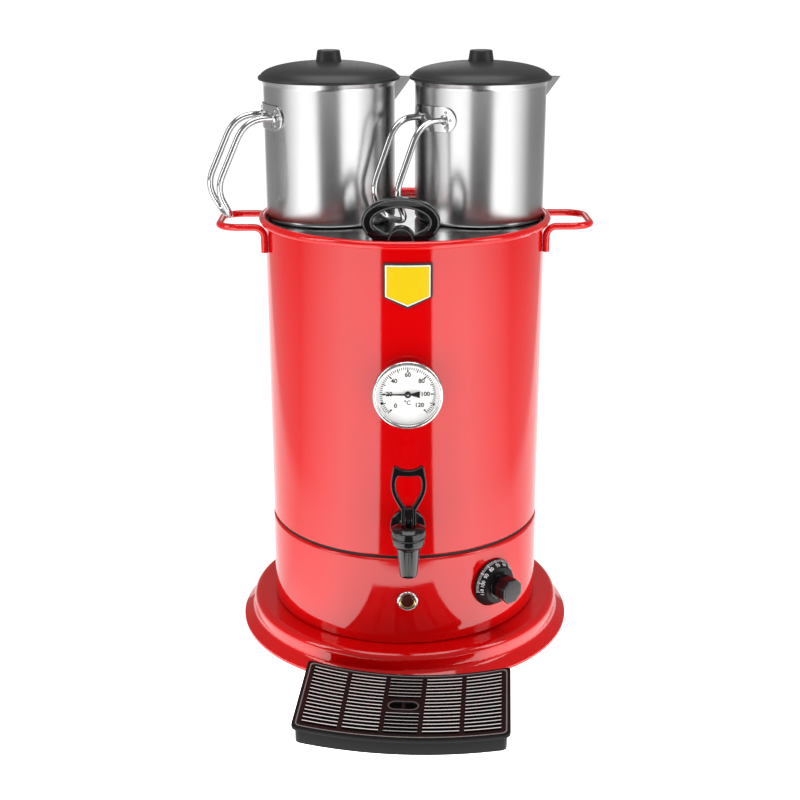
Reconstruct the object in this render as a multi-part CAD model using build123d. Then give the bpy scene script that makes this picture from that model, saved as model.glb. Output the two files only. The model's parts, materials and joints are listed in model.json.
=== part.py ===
"""Hot water urn with two serving pots, a ring-lever tap, a dial thermometer and a drip tray.

Millimetres, +Z up. The origin is on the table, on the axis of the urn. The front, with the
tap, faces -Y, and azimuths are counted from the front towards +X.
"""

import os
from math import cos, radians, sin, sqrt

from build123d import *

LEFT, RIGHT = -1, 1

# ---- clearances shared by everything that fits together
RUNNING = 0.05          # radial play of a shaft in its bore
LOOSE = 0.3             # play of a screw or a pipe in its hole
SKIN_GAP = 0.05         # play between curved skins that lie on each other
CUT = 1.0               # how far a cutter runs past the wall it cuts

# ---- lower housing, whose outer radius carries the radii of the urn
HOUSING_R = 140.5
HOUSING_SHEET = 1.0
HOUSING_HEIGHT = 93.3
HOUSING_BEND_R = 3.0
SEAM_HEIGHT = 3.0
SEAM_RECESS = 2.4
FLOOR_FLANGE = 30.5     # housing floor, from its wall to the hole
TOP_FLANGE = 25.5       # housing top, from its wall to the hole

# ---- base plinth, pressed sheet
PLINTH_SHEET = 1.2
RIM_CLEARANCE = 1.5     # table to the lip of the plinth
LIP_FLARE = 11.5        # lip beyond the upright wall
LIP_HEIGHT = 3.0
PLINTH_STEP = 23.5      # upright wall beyond the housing
FLARE_HEIGHT = 8.0      # rise of the flare from the lip to the upright wall
PLINTH_WALL = 17.5      # upright wall from the flare to the ledge
SHOULDER_R = 7.0

# ---- bottom cover and feet
COVER_GAP = 6.0         # cover inside the upright wall
COVER_SHEET = 1.0
FOOT_R = 12.0
FOOT_HEIGHT = 8.0
FOOT_WEB = 3.0          # rubber left above the screw head
FOOT_RECESS_R = 5.5
FOOT_INSET = 15.0       # edge of the cover to the middle of a foot
BOSS_R = 7.5
BOSS_INSET = 16.5       # wall of the housing to the middle of a boss
BASE_SCREW_R = 2.4
FOOT_SCREW_LENGTH = 12.0
BOSS_SCREW_GRIP = 9.0   # end of a boss's screw above the ledge
BASE_HEAD_R = 4.7
BASE_HEAD_HEIGHT = 3.0
QUARTER_COUNT = 4       # feet, bosses and studs round the axis

# ---- outer shell with its rolled rim
SHELL_STEP = 0.5        # shell inside the line of the housing
SHELL_SHEET = 1.0
SHELL_HEIGHT = 311.0    # seam to the centre of the rolled rim
RIM_BEAD_R = 3.75
RIM_BEAD_PROUD = 6.25   # rim beyond the shell

# ---- water tank
TANK_JACKET = 7.0       # air between the tank and the line of the shell
TANK_SHEET = 0.8
TANK_BELOW_BEAD = 8.1   # lid seat of the tank below the centre of the rolled rim
TANK_BEND_R = 4.0
TANK_RIM_GAP = 1.6      # rim of the tank inside the line of the shell
STUD_INSET = 9.0        # wall of the tank to the middle of a stud
STUD_R = 2.5
STUD_LENGTH = 14.0
STUD_NUT_FLATS = 8.0
STUD_NUT_HEIGHT = 4.0
POCKET_R = 4.2
POCKET_BORE_R = 3.3
POCKET_LENGTH = 56.0
POCKET_Y = -45.0

# ---- heating element
ELEMENT_R = 4.25
ELEMENT_RISE = 21.0     # tank floor to the centre of the loop
ELEMENT_LOOP_X = 88.0
ELEMENT_FRONT_Y = -75.0
ELEMENT_BACK_Y = 70.0
ELEMENT_LEG_X = 25.0
ELEMENT_LOOP_BEND_R = 45.0
ELEMENT_LEG_BEND_R = 14.0
ELEMENT_BUSH_R = 5.0
ELEMENT_BUSH_LENGTH = 16.0
ELEMENT_COLLAR_R = 8.0
ELEMENT_COLLAR_HEIGHT = 3.0
ELEMENT_TAIL = 8.0
ELEMENT_TAIL_R = 1.5
ELEMENT_SEAL_HEIGHT = 1.5
ELEMENT_NUT_FLATS = 17.0
ELEMENT_NUT_HEIGHT = 5.0

# ---- thermostat, its shaft and the knob
KNOB_AZIMUTH = 38.0
KNOB_HEIGHT = 84.0
SHAFT_R = 3.0
SHAFT_LENGTH = 46.0
THERMOSTAT_WIDTH = 36.0
THERMOSTAT_HEIGHT = 44.0
THERMOSTAT_DEPTH = 24.0
THERMOSTAT_STANDOFF = 11.0
THERMOSTAT_NOSE_R = 7.0
THERMOSTAT_POST_R = 4.0
THERMOSTAT_SCREW_PITCH = 28.0
THERMOSTAT_SCREW_R = 1.9
THERMOSTAT_SCREW_LENGTH = 20.0
THERMOSTAT_HEAD_R = 3.4
THERMOSTAT_HEAD_HEIGHT = 2.0
SKIRT_R = 25.0
SKIRT_TOP_R = 18.5
SKIRT_HEIGHT = 10.5
SKIRT_GAP = 0.9         # skirt to the nearest line of the housing
SKIRT_WALL = 1.4
SKIRT_ROOF = 3.0
SKIRT_HUB_R = 6.5
GRIP_R = 13.4
GRIP_HEIGHT = 19.0
GRIP_LOBES = 8
GRIP_TAPER = 2.5
GRIP_CAP = 5.0
CAPILLARY_R = 1.0
CAPILLARY_DROP_BEND_R = 7.0
CAPILLARY_BEND_R = 9.0
BULB_R = 3.2

# ---- boil-dry cut-out
CUTOUT_R = 9.0
CUTOUT_HEIGHT = 8.0
CUTOUT_X = -40.0
CUTOUT_Y = 20.0
CUTOUT_PLATE_LENGTH = 34.0
CUTOUT_PLATE_WIDTH = 10.0
CUTOUT_PLATE_SHEET = 1.0
BLADE_WIDTH = 4.0
BLADE_THICKNESS = 0.8
BLADE_LENGTH = 7.0
BLADE_PITCH = 10.0

# ---- indicator lamp
LAMP_HEIGHT = 78.6
LAMP_BEZEL_R = 10.5
LAMP_BEZEL_PROUD = 3.2
LAMP_LENS_R = 6.5
LAMP_LENS_PROUD = 1.6
LAMP_BARREL_R = 5.6
LAMP_BARREL_BORE_R = 4.6
LAMP_BARREL_LENGTH = 22.0

# ---- mains inlet bush and terminal block
BUSH_HEIGHT = 60.0
BUSH_R = 8.0
BUSH_BORE_R = 4.5
BUSH_FLANGE_R = 11.0
BUSH_FLANGE_HEIGHT = 3.0
BUSH_TAIL = 14.0
BLOCK_WIDTH = 46.0
BLOCK_DEPTH = 20.0
BLOCK_HEIGHT = 16.0
BLOCK_Y = 80.0
BLOCK_PITCH = 14.0
BLOCK_SCREW_R = 2.4
WIRE_R = 1.5
WIRE_BEND_R = 10.0
WIRE_RISE = 20.0        # straight run of a wire out of the block
WIRE_DROP = 26.0        # straight run down from an element leg
WIRE_TAIL = 30.0        # straight run out of the thermostat or the lamp

# ---- dial thermometer
DIAL_HEIGHT = 296.0
BEZEL_R = 33.5
BEZEL_LIP_R = 29.6
BEZEL_DEPTH = 5.5
CASE_R = 31.6
CASE_WALL = 0.8
CASE_DEPTH = 10.0
CASE_STANDOFF = 2.0
DIAL_R = 30.4
DIAL_SHEET = 0.8
DIAL_RECESS = 6.2       # front of the bezel to the dial
GLASS_THICKNESS = 1.6
BEZEL_LIP = 1.2
POINTER_LENGTH = 24.5
POINTER_TAIL = 11.3
POINTER_TAIL_WIDTH = 6.8
POINTER_WIDTH = 1.9
POINTER_TIP_WIDTH = 0.8
POINTER_SHEET = 0.6
POINTER_GAP = 1.4       # dial to pointer
POINTER_HUB_R = 3.2
STAFF_R = 0.75
STAFF_LENGTH = 18.0
STEM_R = 4.0
STEM_LENGTH = 62.0
STEM_THREAD_R = 6.0
STEM_SHOULDER_R = 11.0
STEM_NUT_FLATS = 17.0
STEM_NUT_HEIGHT = 6.0

# ---- tap
TAP_HEIGHT = 161.0      # table to the centre of the shank
TAP_PROUD = 42.0        # shell to the axis of the spout
SHANK_R = 8.0
SHANK_BORE_R = 4.2
SHANK_TAIL = 20.0       # shank inside the tank
TAP_FLANGE_R = 17.0
TAP_FLANGE_THICKNESS = 4.5
TAP_SEAL_R = 15.0
TAP_SEAL_THICKNESS = 1.6
TAP_NUT_FLATS = 24.0
TAP_NUT_HEIGHT = 7.0
SPOUT_DROP = 35.0       # centre of the shank to the mouth of the spout
SPOUT_MOUTH_R = 8.2
SPOUT_BORE_R = 4.5
SPOUT_TOP_R = 11.7
SPOUT_CONE = 30.5
COLLAR_LOW_R = 13.2
COLLAR_R = 15.4
COLLAR_HEIGHT = 9.5
CHAMBER_R = 9.0
CHAMBER_DEPTH = 19.0
BONNET_R = 16.4
BONNET_BAND = 8.0
BONNET_CONE = 4.0
BONNET_TOP_R = 9.0
BONNET_CAVITY_R = 7.5
BONNET_ROOF = 3.0
STEM_ROD_R = 2.5
STEM_COLLAR_R = 6.5
STEM_COLLAR_HEIGHT = 2.0
SEAT_R = 7.5
SEAT_HEIGHT = 6.0
SPRING_R = 4.9
SPRING_WIRE_R = 0.5
SPRING_PITCH = 3.6
LEVER_FOOT = 5.0        # foot of the lever to its pin
LEVER_FOOT_GAP = 0.3
LEVER_NECK_WIDTH = 13.6
LEVER_NECK_HEIGHT = 15.0
LEVER_DEPTH = 11.0
LEVER_WIDTH = 33.4
LEVER_BELLY = 34.0      # pin to the widest place of the ring
LEVER_TOP = 54.0        # pin to the tips of the horns
LEVER_HORN_X = 12.4
LEVER_HORN = 3.6        # width of a horn's tip
LEVER_SADDLE = 3.4      # dip between the horns
LEVER_CROTCH = 3.6      # neck to the foot of the hole
LEVER_CORNER_R = 1.3
LEVER_WAIST_R = 6.0
LEVER_BELLY_R = 13.0
LEVER_SADDLE_R = 12.0
LEVER_HOLE_R = 2.0
LEVER_BAR = 5.2
LEVER_PIN_R = 1.25
LEVER_PIN_LENGTH = 12.0

# ---- carrying handles on the shell
SIDE_ROD_R = 3.5
SIDE_PROUD = 48.0       # shell to the outside of the loop
SIDE_SPREAD = 36.0      # centre of the handle to each leg
SIDE_DROP = 25.0        # loop to the ends of the legs
SIDE_UNDER_RIM = 7.9    # top of the rolled rim to the centre of the loop
SIDE_LEG_BEND_R = 10.0
SIDE_LOOP_BEND_R = 20.0

# ---- plain name plate, left bare
PLATE_WIDTH = 46.0
PLATE_SIDE = 32.3       # height of its upright edges
PLATE_POINT = 11.0      # drop from the edges to the point
PLATE_CORNER_R = 0.8
PLATE_THICKNESS = 1.0
PLATE_UNDER_RIM = 20.5  # top of the rolled rim to the plate

# ---- lid of the urn and its bow handle
LID_GAP = 2.4           # lid inside the line of the shell
LID_SHEET = 0.8
LID_RISE = 5.0
LID_BEND_R = 2.0
LID_TURN = -2.9
STEAM_HOLE_R = 4.5
STEAM_CIRCLE_R = 28.0
STEAM_HOLES = 6
BOW_INSET = 22.6        # edge of the lid to the middle of the bow
BOW_WIDTH = 73.0
BOW_HEIGHT = 42.0
BOW_BELLY = 19.0        # lid to the widest place of the bow
BOW_BAR = 9.0
BOW_DEPTH = 12.0
BOW_FOOT_WIDTH = 52.0
BOW_FOOT_HEIGHT = 7.0
BOW_DOME_R = 14.5
BOW_DOME_HEIGHT = 15.5
BOW_SCREW_PITCH = 36.0
BOW_SCREW_R = 2.0
BOW_SCREW_LENGTH = 6.5
BOW_HEAD_R = 3.8
BOW_HEAD_HEIGHT = 2.2

# ---- serving pots
POT_GAP = 19.8          # between the walls of the pots
POT_OVERHANG = 1.3      # walls of the pots beyond the edge of the lid
POT_LINE_Y = 6.0
POT_LINE_TURN = -1.1
POT_SHEET = 0.8
POT_HEIGHT = 137.0
POT_BEND_R = 5.0
POT_FLARE = 2.0
POT_FLARE_HEIGHT = 5.0
LEFT_POT_TURN = -69.0
RIGHT_POT_TURN = -52.0
SPOUT_TURN = 111.0
POT_ROD_R = 3.1
POT_ROD_SPREAD = 36.0
POT_ROOT_BELOW_RIM = 33.5
POT_ROOT_REACH = 27.0   # wall to the upper bend
POT_GRIP_REACH = 58.0   # wall to the outer bend
POT_GRIP_DROP = 66.0
POT_RETURN_REACH = 43.0
POT_RETURN_DROP = 93.0
POT_ROOT_BEND_R = 14.0
POT_GRIP_BEND_R = 20.0
POT_RETURN_BEND_R = 15.0
BRACKET_LENGTH = 62.0
BRACKET_HEIGHT = 24.0
BRACKET_SHEET = 1.8
SPOUT_WIDTH = 34.0
SPOUT_REACH = 24.0
SPOUT_FALL = 30.0
SPOUT_SHEET = 0.8
SPOUT_RIM_DROP = 0.6
POT_LID_PROUD = 5.1     # lid beyond the wall of the pot
POT_LID_SHEET = 1.0
POT_LID_LIP = 2.6
POT_LID_SEAT = 1.6
POT_LID_RISE = 16.0
POT_LID_FLAT_R = 13.5
POT_LID_RING_GAP = 1.5  # ring inside the line of the wall
POT_LID_RING_DEPTH = 7.0
POT_LID_RING_SHEET = 1.0
POT_KNOB_R = 12.6
POT_KNOB_TOP_R = 11.0
POT_KNOB_HEIGHT = 10.5
POT_KNOB_STUD_R = 2.5
POT_KNOB_NUT_R = 7.0
POT_KNOB_NUT_HEIGHT = 3.0

# ---- drip tray and its grille
TRAY_X = -6.0
TRAY_GAP = 4.5          # lip of the plinth to the back of the tray
TRAY_TURN = -5.1
TRAY_WIDTH = 202.0
TRAY_DEPTH = 117.0
TRAY_BACK_ARC_R = 230.0
TRAY_FRONT_ARC_R = 340.0
TRAY_CORNER_R = 11.0
PAN_INSET = 3.2
PAN_WALL = 1.8
PAN_FLOOR = 1.8
PAN_HEIGHT = 14.5
GRILLE_THICKNESS = 3.6
GRILLE_BORDER = 7.5
GRILLE_KEY_GAP = 0.4
GRILLE_KEY_DEPTH = 3.0
GRILLE_KEY_WALL = 1.6
SLOT_ROWS = 16
SLOT_SHARE = 0.5        # open share of each row
RIB_WIDTH = 4.6
MIDDLE_COLUMN = 31.0
FINGER_WIDTH = 26.0
FINGER_DEPTH = 12.0
FINGER_RIM = 2.0
FINGER_RIM_PROUD = 0.6
FINGER_BAR = 3.4

# ---- radii and places that follow
HOUSING_INNER_R = HOUSING_R - HOUSING_SHEET
FLANGE_BORE_R = HOUSING_R - FLOOR_FLANGE
TOP_FLANGE_BORE_R = HOUSING_R - TOP_FLANGE
BOSS_CIRCLE_R = HOUSING_R - BOSS_INSET
PLINTH_WALL_R = HOUSING_R + PLINTH_STEP
LIP_R = PLINTH_WALL_R + LIP_FLARE
COVER_R = PLINTH_WALL_R - COVER_GAP
FOOT_CIRCLE_R = COVER_R - FOOT_INSET
BODY_R = HOUSING_R - SHELL_STEP
TANK_R = BODY_R - TANK_JACKET
TANK_INNER_R = TANK_R - TANK_SHEET
TANK_RIM_R = BODY_R - TANK_RIM_GAP
STUD_CIRCLE_R = TANK_R - STUD_INSET
TAP_REACH = BODY_R + TAP_PROUD
SIDE_REACH = BODY_R + SIDE_PROUD
LID_R = BODY_R - LID_GAP
BOW_REACH = LID_R - BOW_INSET
POT_R = (LID_R + POT_OVERHANG - POT_GAP / 2) / 2
POT_SPACING = 2 * POT_R + POT_GAP
POT_LID_R = POT_R + POT_LID_PROUD
POT_LID_RING_R = POT_R - POT_LID_RING_GAP
TRAY_Y = -(LIP_R + TRAY_GAP + TRAY_DEPTH / 2)

# ---- heights that follow
COVER_Z = FOOT_HEIGHT
FLARE_TOP_Z = RIM_CLEARANCE + LIP_HEIGHT + FLARE_HEIGHT
LEDGE_Z = FLARE_TOP_Z + PLINTH_WALL
HOUSING_TOP_Z = LEDGE_Z + HOUSING_HEIGHT
SHELL_Z = HOUSING_TOP_Z + SEAM_HEIGHT
TANK_Z = SHELL_Z + SHELL_SHEET
TANK_FLOOR_Z = TANK_Z + TANK_SHEET
BEAD_Z = SHELL_Z + SHELL_HEIGHT
TANK_DEPTH = BEAD_Z - TANK_BELOW_BEAD - TANK_Z
RIM_Z = BEAD_Z + RIM_BEAD_R
LID_SEAT_Z = TANK_Z + TANK_DEPTH + TANK_SHEET
LID_Z = LID_SEAT_Z + LID_RISE
POT_RIM_Z = LID_Z + POT_HEIGHT
COLLAR_Z = TAP_HEIGHT + SHANK_BORE_R + 0.8
CHAMBER_Z = COLLAR_Z - CHAMBER_DEPTH
BONNET_TOP_Z = COLLAR_Z + BONNET_BAND + BONNET_CONE
LEVER_PIN_Z = BONNET_TOP_Z + LEVER_FOOT_GAP + LEVER_FOOT
GRILLE_Z = PAN_HEIGHT


# ---- shared shapes

def turned(*outline):
    """A closed outline of (radius, height) points turned about Z."""
    return revolve(Plane.XZ * make_face(Polyline(*outline, close=True)), Axis.Z, 360)


def pressed(points, bends, sheet):
    """Sheet turned about Z. The points are on its outer skin and the sheet lies to their left."""
    skin = FilletPolyline(*points, radius=bends)
    return revolve(Plane.XZ * make_face(offset(skin, sheet, side=Side.LEFT).edges()), Axis.Z, 360)


def peg(radius, low, high, x=0.0, y=0.0):
    """A round bar along Z between two heights."""
    bar = Cylinder(radius, high - low, align=(Align.CENTER, Align.CENTER, Align.MIN))
    return Pos(x, y, low) * bar


def tube(outer_r, inner_r, low, high, x=0.0, y=0.0):
    return peg(outer_r, low, high, x, y) - peg(inner_r, low - CUT, high + CUT, x, y)


def cone(low_r, high_r, low, high, x=0.0, y=0.0):
    body = Cone(low_r, high_r, high - low, align=(Align.CENTER, Align.CENTER, Align.MIN))
    return Pos(x, y, low) * body


def hex_nut(flats, bore_r, low, high, x=0.0, y=0.0):
    prism = extrude(RegularPolygon(flats / 2, 6, major_radius=False), high - low)
    return Pos(x, y, low) * prism - peg(bore_r, low - CUT, high + CUT, x, y)


def screw(seat, shank_r, length, head_r, head_height, x=0.0, y=0.0):
    """A pan head screw that points up, with the underside of its head at the seat."""
    return peg(head_r, seat - head_height, seat, x, y) + peg(shank_r, seat, seat + length, x, y)


def rod(points, bends, radius):
    """A bent round bar along straight runs joined by arcs."""
    path = FilletPolyline(*points, radius=bends)
    return sweep(Plane(path @ 0, z_dir=path % 0) * Circle(radius), path=path)


def outward(azimuth, height):
    """A plane whose Z points away from the axis of the urn, with Y up and X to the right."""
    turn = radians(azimuth)
    return Plane(origin=(0, 0, height), x_dir=(cos(turn), sin(turn), 0), z_dir=(sin(turn), -cos(turn), 0))


def around(circle_r, count, start=0.0):
    """Places of count equal parts on a circle round the axis."""
    turns = [radians(start + 360 * step / count) for step in range(count)]
    return [(circle_r * cos(turn), circle_r * sin(turn)) for turn in turns]


def group(solids):
    return Compound(children=list(solids))


def flat_limit(radius, half_width):
    """How far out a flat of this half width may lie inside a round wall."""
    return sqrt(radius**2 - half_width**2)


def boss_places():
    return around(BOSS_CIRCLE_R, QUARTER_COUNT, 45)


def stud_places():
    return around(STUD_CIRCLE_R, QUARTER_COUNT, 45)


def foot_places():
    return around(FOOT_CIRCLE_R, QUARTER_COUNT)


# ---- base

def base_plinth():
    lip_top = RIM_CLEARANCE + LIP_HEIGHT
    skin = [
        (LIP_R, RIM_CLEARANCE),
        (LIP_R, lip_top),
        (PLINTH_WALL_R, FLARE_TOP_Z),
        (PLINTH_WALL_R, LEDGE_Z),
        (FLANGE_BORE_R, LEDGE_Z),
    ]
    plinth = pressed(skin, [1.5, SHOULDER_R - 1, SHOULDER_R], PLINTH_SHEET)
    for x, y in boss_places():
        plinth -= peg(BASE_SCREW_R + LOOSE, LEDGE_Z - PLINTH_SHEET - CUT, LEDGE_Z + CUT, x, y)
    return plinth


def bottom_cover():
    boss_top = LEDGE_Z - PLINTH_SHEET
    cover = peg(COVER_R, COVER_Z, COVER_Z + COVER_SHEET)
    for x, y in boss_places():
        cover += peg(BOSS_R, COVER_Z, boss_top, x, y)
        cover -= peg(BASE_SCREW_R + RUNNING, COVER_Z - CUT, boss_top + CUT, x, y)
    for x, y in foot_places():
        cover -= peg(BASE_SCREW_R + RUNNING, COVER_Z - CUT, COVER_Z + COVER_SHEET + CUT, x, y)
    return cover


def rubber_feet():
    feet = []
    for x, y in foot_places():
        foot = peg(FOOT_R, 0, FOOT_HEIGHT, x, y)
        foot -= peg(FOOT_RECESS_R, -CUT, FOOT_HEIGHT - FOOT_WEB, x, y)
        foot -= peg(BASE_SCREW_R + RUNNING, -CUT, FOOT_HEIGHT + CUT, x, y)
        feet.append(foot)
    return group(feet)


def base_screws():
    head = (BASE_HEAD_R, BASE_HEAD_HEIGHT)
    short = (FOOT_HEIGHT - FOOT_WEB, BASE_SCREW_R, FOOT_SCREW_LENGTH, *head)
    long = (COVER_Z, BASE_SCREW_R, LEDGE_Z + BOSS_SCREW_GRIP - COVER_Z, *head)
    screws = [screw(*short, x, y) for x, y in foot_places()]
    screws += [screw(*long, x, y) for x, y in boss_places()]
    return group(screws)


# ---- casings

def lower_housing():
    skin = [
        (FLANGE_BORE_R, LEDGE_Z),
        (HOUSING_R, LEDGE_Z),
        (HOUSING_R, HOUSING_TOP_Z),
        (TOP_FLANGE_BORE_R, HOUSING_TOP_Z),
    ]
    housing = pressed(skin, [HOUSING_BEND_R - 1, HOUSING_BEND_R], HOUSING_SHEET)
    for x, y in boss_places():
        housing -= peg(BASE_SCREW_R + RUNNING, LEDGE_Z - CUT, LEDGE_Z + HOUSING_SHEET + CUT, x, y)
    for x, y in stud_places():
        housing -= peg(STUD_R + LOOSE, HOUSING_TOP_Z - HOUSING_SHEET - CUT, HOUSING_TOP_Z + CUT, x, y)
    low, high = HOUSING_INNER_R - CUT, HOUSING_R + CUT
    housing -= outward(0, LAMP_HEIGHT) * peg(LAMP_BARREL_R + LOOSE, low, high)
    housing -= outward(180, BUSH_HEIGHT) * peg(BUSH_R + LOOSE, low, high)
    knob = outward(KNOB_AZIMUTH, KNOB_HEIGHT)
    housing -= knob * peg(SHAFT_R + CUT, low, high)
    for side in (-1, 1):
        post_y = side * THERMOSTAT_SCREW_PITCH / 2
        housing -= knob * peg(THERMOSTAT_SCREW_R + RUNNING, low, high, 0, post_y)
    return housing


def seam_ring():
    """The dark band that keeps the housing and the shell apart."""
    ring = tube(HOUSING_R - SEAM_RECESS, TOP_FLANGE_BORE_R, HOUSING_TOP_Z, SHELL_Z)
    for x, y in stud_places():
        ring -= peg(STUD_R + LOOSE, HOUSING_TOP_Z - CUT, SHELL_Z + CUT, x, y)
    return ring


def outer_shell():
    wall = [(TOP_FLANGE_BORE_R, SHELL_Z), (BODY_R, SHELL_Z), (BODY_R, BEAD_Z)]
    shell = pressed(wall, [1.6], SHELL_SHEET)
    bead_centre = BODY_R + RIM_BEAD_PROUD - RIM_BEAD_R
    bead = Plane.XZ * Pos(bead_centre, BEAD_Z) * Circle(RIM_BEAD_R)
    shell += revolve(bead, Axis.Z, 360)
    for x, y in stud_places():
        shell -= peg(STUD_R + LOOSE, SHELL_Z - CUT, SHELL_Z + SHELL_SHEET + CUT, x, y)
    low, high = BODY_R - SHELL_SHEET - CUT, BODY_R + CUT
    shell -= outward(0, DIAL_HEIGHT) * peg(STEM_THREAD_R + LOOSE, low, high)
    shell -= outward(0, TAP_HEIGHT) * peg(SHANK_R + LOOSE, low, high)
    return shell


def water_tank():
    rim_low = TANK_Z + TANK_DEPTH
    skin = [(0, TANK_Z), (TANK_R, TANK_Z), (TANK_R, rim_low), (TANK_RIM_R, rim_low)]
    tank = pressed(skin, [TANK_BEND_R, TANK_SHEET + 0.4], TANK_SHEET)
    for x, y in stud_places():
        tank += peg(STUD_R, TANK_Z - STUD_LENGTH, TANK_Z + TANK_SHEET / 2, x, y)
    pocket_z = TANK_Z - POCKET_R + TANK_SHEET / 4
    pocket_plane = Plane(origin=(0, POCKET_Y, pocket_z), x_dir=(0, 1, 0), z_dir=(1, 0, 0))
    half = POCKET_LENGTH / 2
    tank += pocket_plane * peg(POCKET_R, -half, half)
    tank -= pocket_plane * peg(POCKET_BORE_R, -half - CUT, half + CUT)
    for side in (-1, 1):
        leg_x = side * ELEMENT_LEG_X
        tank -= peg(ELEMENT_BUSH_R + LOOSE, TANK_Z - CUT, TANK_FLOOR_Z + CUT, leg_x, ELEMENT_BACK_Y)
    low, high = TANK_INNER_R - CUT, TANK_R + CUT
    tank -= outward(0, DIAL_HEIGHT) * peg(STEM_THREAD_R + LOOSE, low, high)
    tank -= outward(0, TAP_HEIGHT) * peg(SHANK_R + LOOSE, low, high)
    return tank


def tank_nuts():
    top = HOUSING_TOP_Z - HOUSING_SHEET
    nuts = [hex_nut(STUD_NUT_FLATS, STUD_R, top - STUD_NUT_HEIGHT, top, x, y) for x, y in stud_places()]
    return group(nuts)


# ---- heating

def heating_element():
    loop_z = TANK_FLOOR_Z + ELEMENT_RISE
    seal_top = TANK_FLOOR_Z + ELEMENT_SEAL_HEIGHT
    bush_low = seal_top - ELEMENT_BUSH_LENGTH
    points = [
        (-ELEMENT_LEG_X, ELEMENT_BACK_Y, seal_top),
        (-ELEMENT_LEG_X, ELEMENT_BACK_Y, loop_z),
        (-ELEMENT_LOOP_X, ELEMENT_BACK_Y, loop_z),
        (-ELEMENT_LOOP_X, ELEMENT_FRONT_Y, loop_z),
        (ELEMENT_LOOP_X, ELEMENT_FRONT_Y, loop_z),
        (ELEMENT_LOOP_X, ELEMENT_BACK_Y, loop_z),
        (ELEMENT_LEG_X, ELEMENT_BACK_Y, loop_z),
        (ELEMENT_LEG_X, ELEMENT_BACK_Y, seal_top),
    ]
    bends = [ELEMENT_LEG_BEND_R] + [ELEMENT_LOOP_BEND_R] * 4 + [ELEMENT_LEG_BEND_R]
    element = rod(points, bends, ELEMENT_R)
    for side in (-1, 1):
        place = (side * ELEMENT_LEG_X, ELEMENT_BACK_Y)
        element += peg(ELEMENT_COLLAR_R, seal_top, seal_top + ELEMENT_COLLAR_HEIGHT, *place)
        element += peg(ELEMENT_BUSH_R, bush_low, seal_top, *place)
        element += peg(ELEMENT_TAIL_R, bush_low - ELEMENT_TAIL, bush_low, *place)
    return element


def element_seals():
    top = TANK_FLOOR_Z + ELEMENT_SEAL_HEIGHT
    size = (ELEMENT_COLLAR_R, ELEMENT_BUSH_R + RUNNING, TANK_FLOOR_Z, top)
    return group(tube(*size, side * ELEMENT_LEG_X, ELEMENT_BACK_Y) for side in (-1, 1))


def element_nuts():
    size = (ELEMENT_NUT_FLATS, ELEMENT_BUSH_R + RUNNING, TANK_Z - ELEMENT_NUT_HEIGHT, TANK_Z)
    return group(hex_nut(*size, side * ELEMENT_LEG_X, ELEMENT_BACK_Y) for side in (-1, 1))


# ---- thermostat and knob

def thermostat_span():
    """Back and front of the thermostat's box, from the axis of the urn."""
    front = HOUSING_INNER_R - THERMOSTAT_STANDOFF
    return front - THERMOSTAT_DEPTH, front


def thermostat_body():
    back, front = thermostat_span()
    plane = outward(KNOB_AZIMUTH, KNOB_HEIGHT)
    box = Box(THERMOSTAT_WIDTH, THERMOSTAT_HEIGHT, THERMOSTAT_DEPTH)
    body = Pos(0, 0, (back + front) / 2) * box
    body += peg(THERMOSTAT_NOSE_R, front, HOUSING_R)
    shank_end = HOUSING_R - THERMOSTAT_SCREW_LENGTH
    for side in (-1, 1):
        post_y = side * THERMOSTAT_SCREW_PITCH / 2
        body += peg(THERMOSTAT_POST_R, front, HOUSING_R, 0, post_y)
        body -= peg(THERMOSTAT_SCREW_R + RUNNING, shank_end - CUT, HOUSING_R + CUT, 0, post_y)
    body -= peg(SHAFT_R + RUNNING, back + 2 * CUT, HOUSING_R + CUT)
    return (plane * body) & peg(HOUSING_INNER_R - SKIN_GAP, 0, HOUSING_TOP_Z)


def shaft_span():
    back, _ = thermostat_span()
    return back + 3 * CUT, back + 3 * CUT + SHAFT_LENGTH


def thermostat_shaft():
    low, high = shaft_span()
    return outward(KNOB_AZIMUTH, KNOB_HEIGHT) * peg(SHAFT_R, low, high)


def thermostat_screws():
    seat = HOUSING_R + SKIN_GAP
    screws = []
    for side in (-1, 1):
        post_y = side * THERMOSTAT_SCREW_PITCH / 2
        body = peg(THERMOSTAT_HEAD_R, seat, seat + THERMOSTAT_HEAD_HEIGHT, 0, post_y)
        body += peg(THERMOSTAT_SCREW_R, HOUSING_R - THERMOSTAT_SCREW_LENGTH, seat, 0, post_y)
        screws.append(outward(KNOB_AZIMUTH, KNOB_HEIGHT) * body)
    return group(screws)


def thermostat_capillary():
    """The sensing bulb in the pocket under the tank and its fine tube to the thermostat."""
    back, _ = thermostat_span()
    outlet = back + THERMOSTAT_DEPTH / 4
    turn = radians(KNOB_AZIMUTH)
    start_x, start_y = outlet * sin(turn), -outlet * cos(turn)
    start_z = KNOB_HEIGHT + THERMOSTAT_HEIGHT / 2
    bulb_z = TANK_Z - POCKET_R + TANK_SHEET / 4
    bulb_end = POCKET_LENGTH / 2 + 4 * BULB_R
    points = [
        (start_x, start_y, start_z),
        (start_x, start_y, bulb_z),
        (start_x, POCKET_Y, bulb_z),
        (bulb_end, POCKET_Y, bulb_z),
    ]
    line = rod(points, [CAPILLARY_DROP_BEND_R, CAPILLARY_BEND_R], CAPILLARY_R)
    plane = Plane(origin=(0, POCKET_Y, bulb_z), x_dir=(0, 1, 0), z_dir=(1, 0, 0))
    return line + plane * peg(BULB_R, -POCKET_LENGTH / 2, bulb_end)


def skirt_span():
    low = HOUSING_R + SKIRT_GAP
    return low, low + SKIRT_HEIGHT


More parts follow.
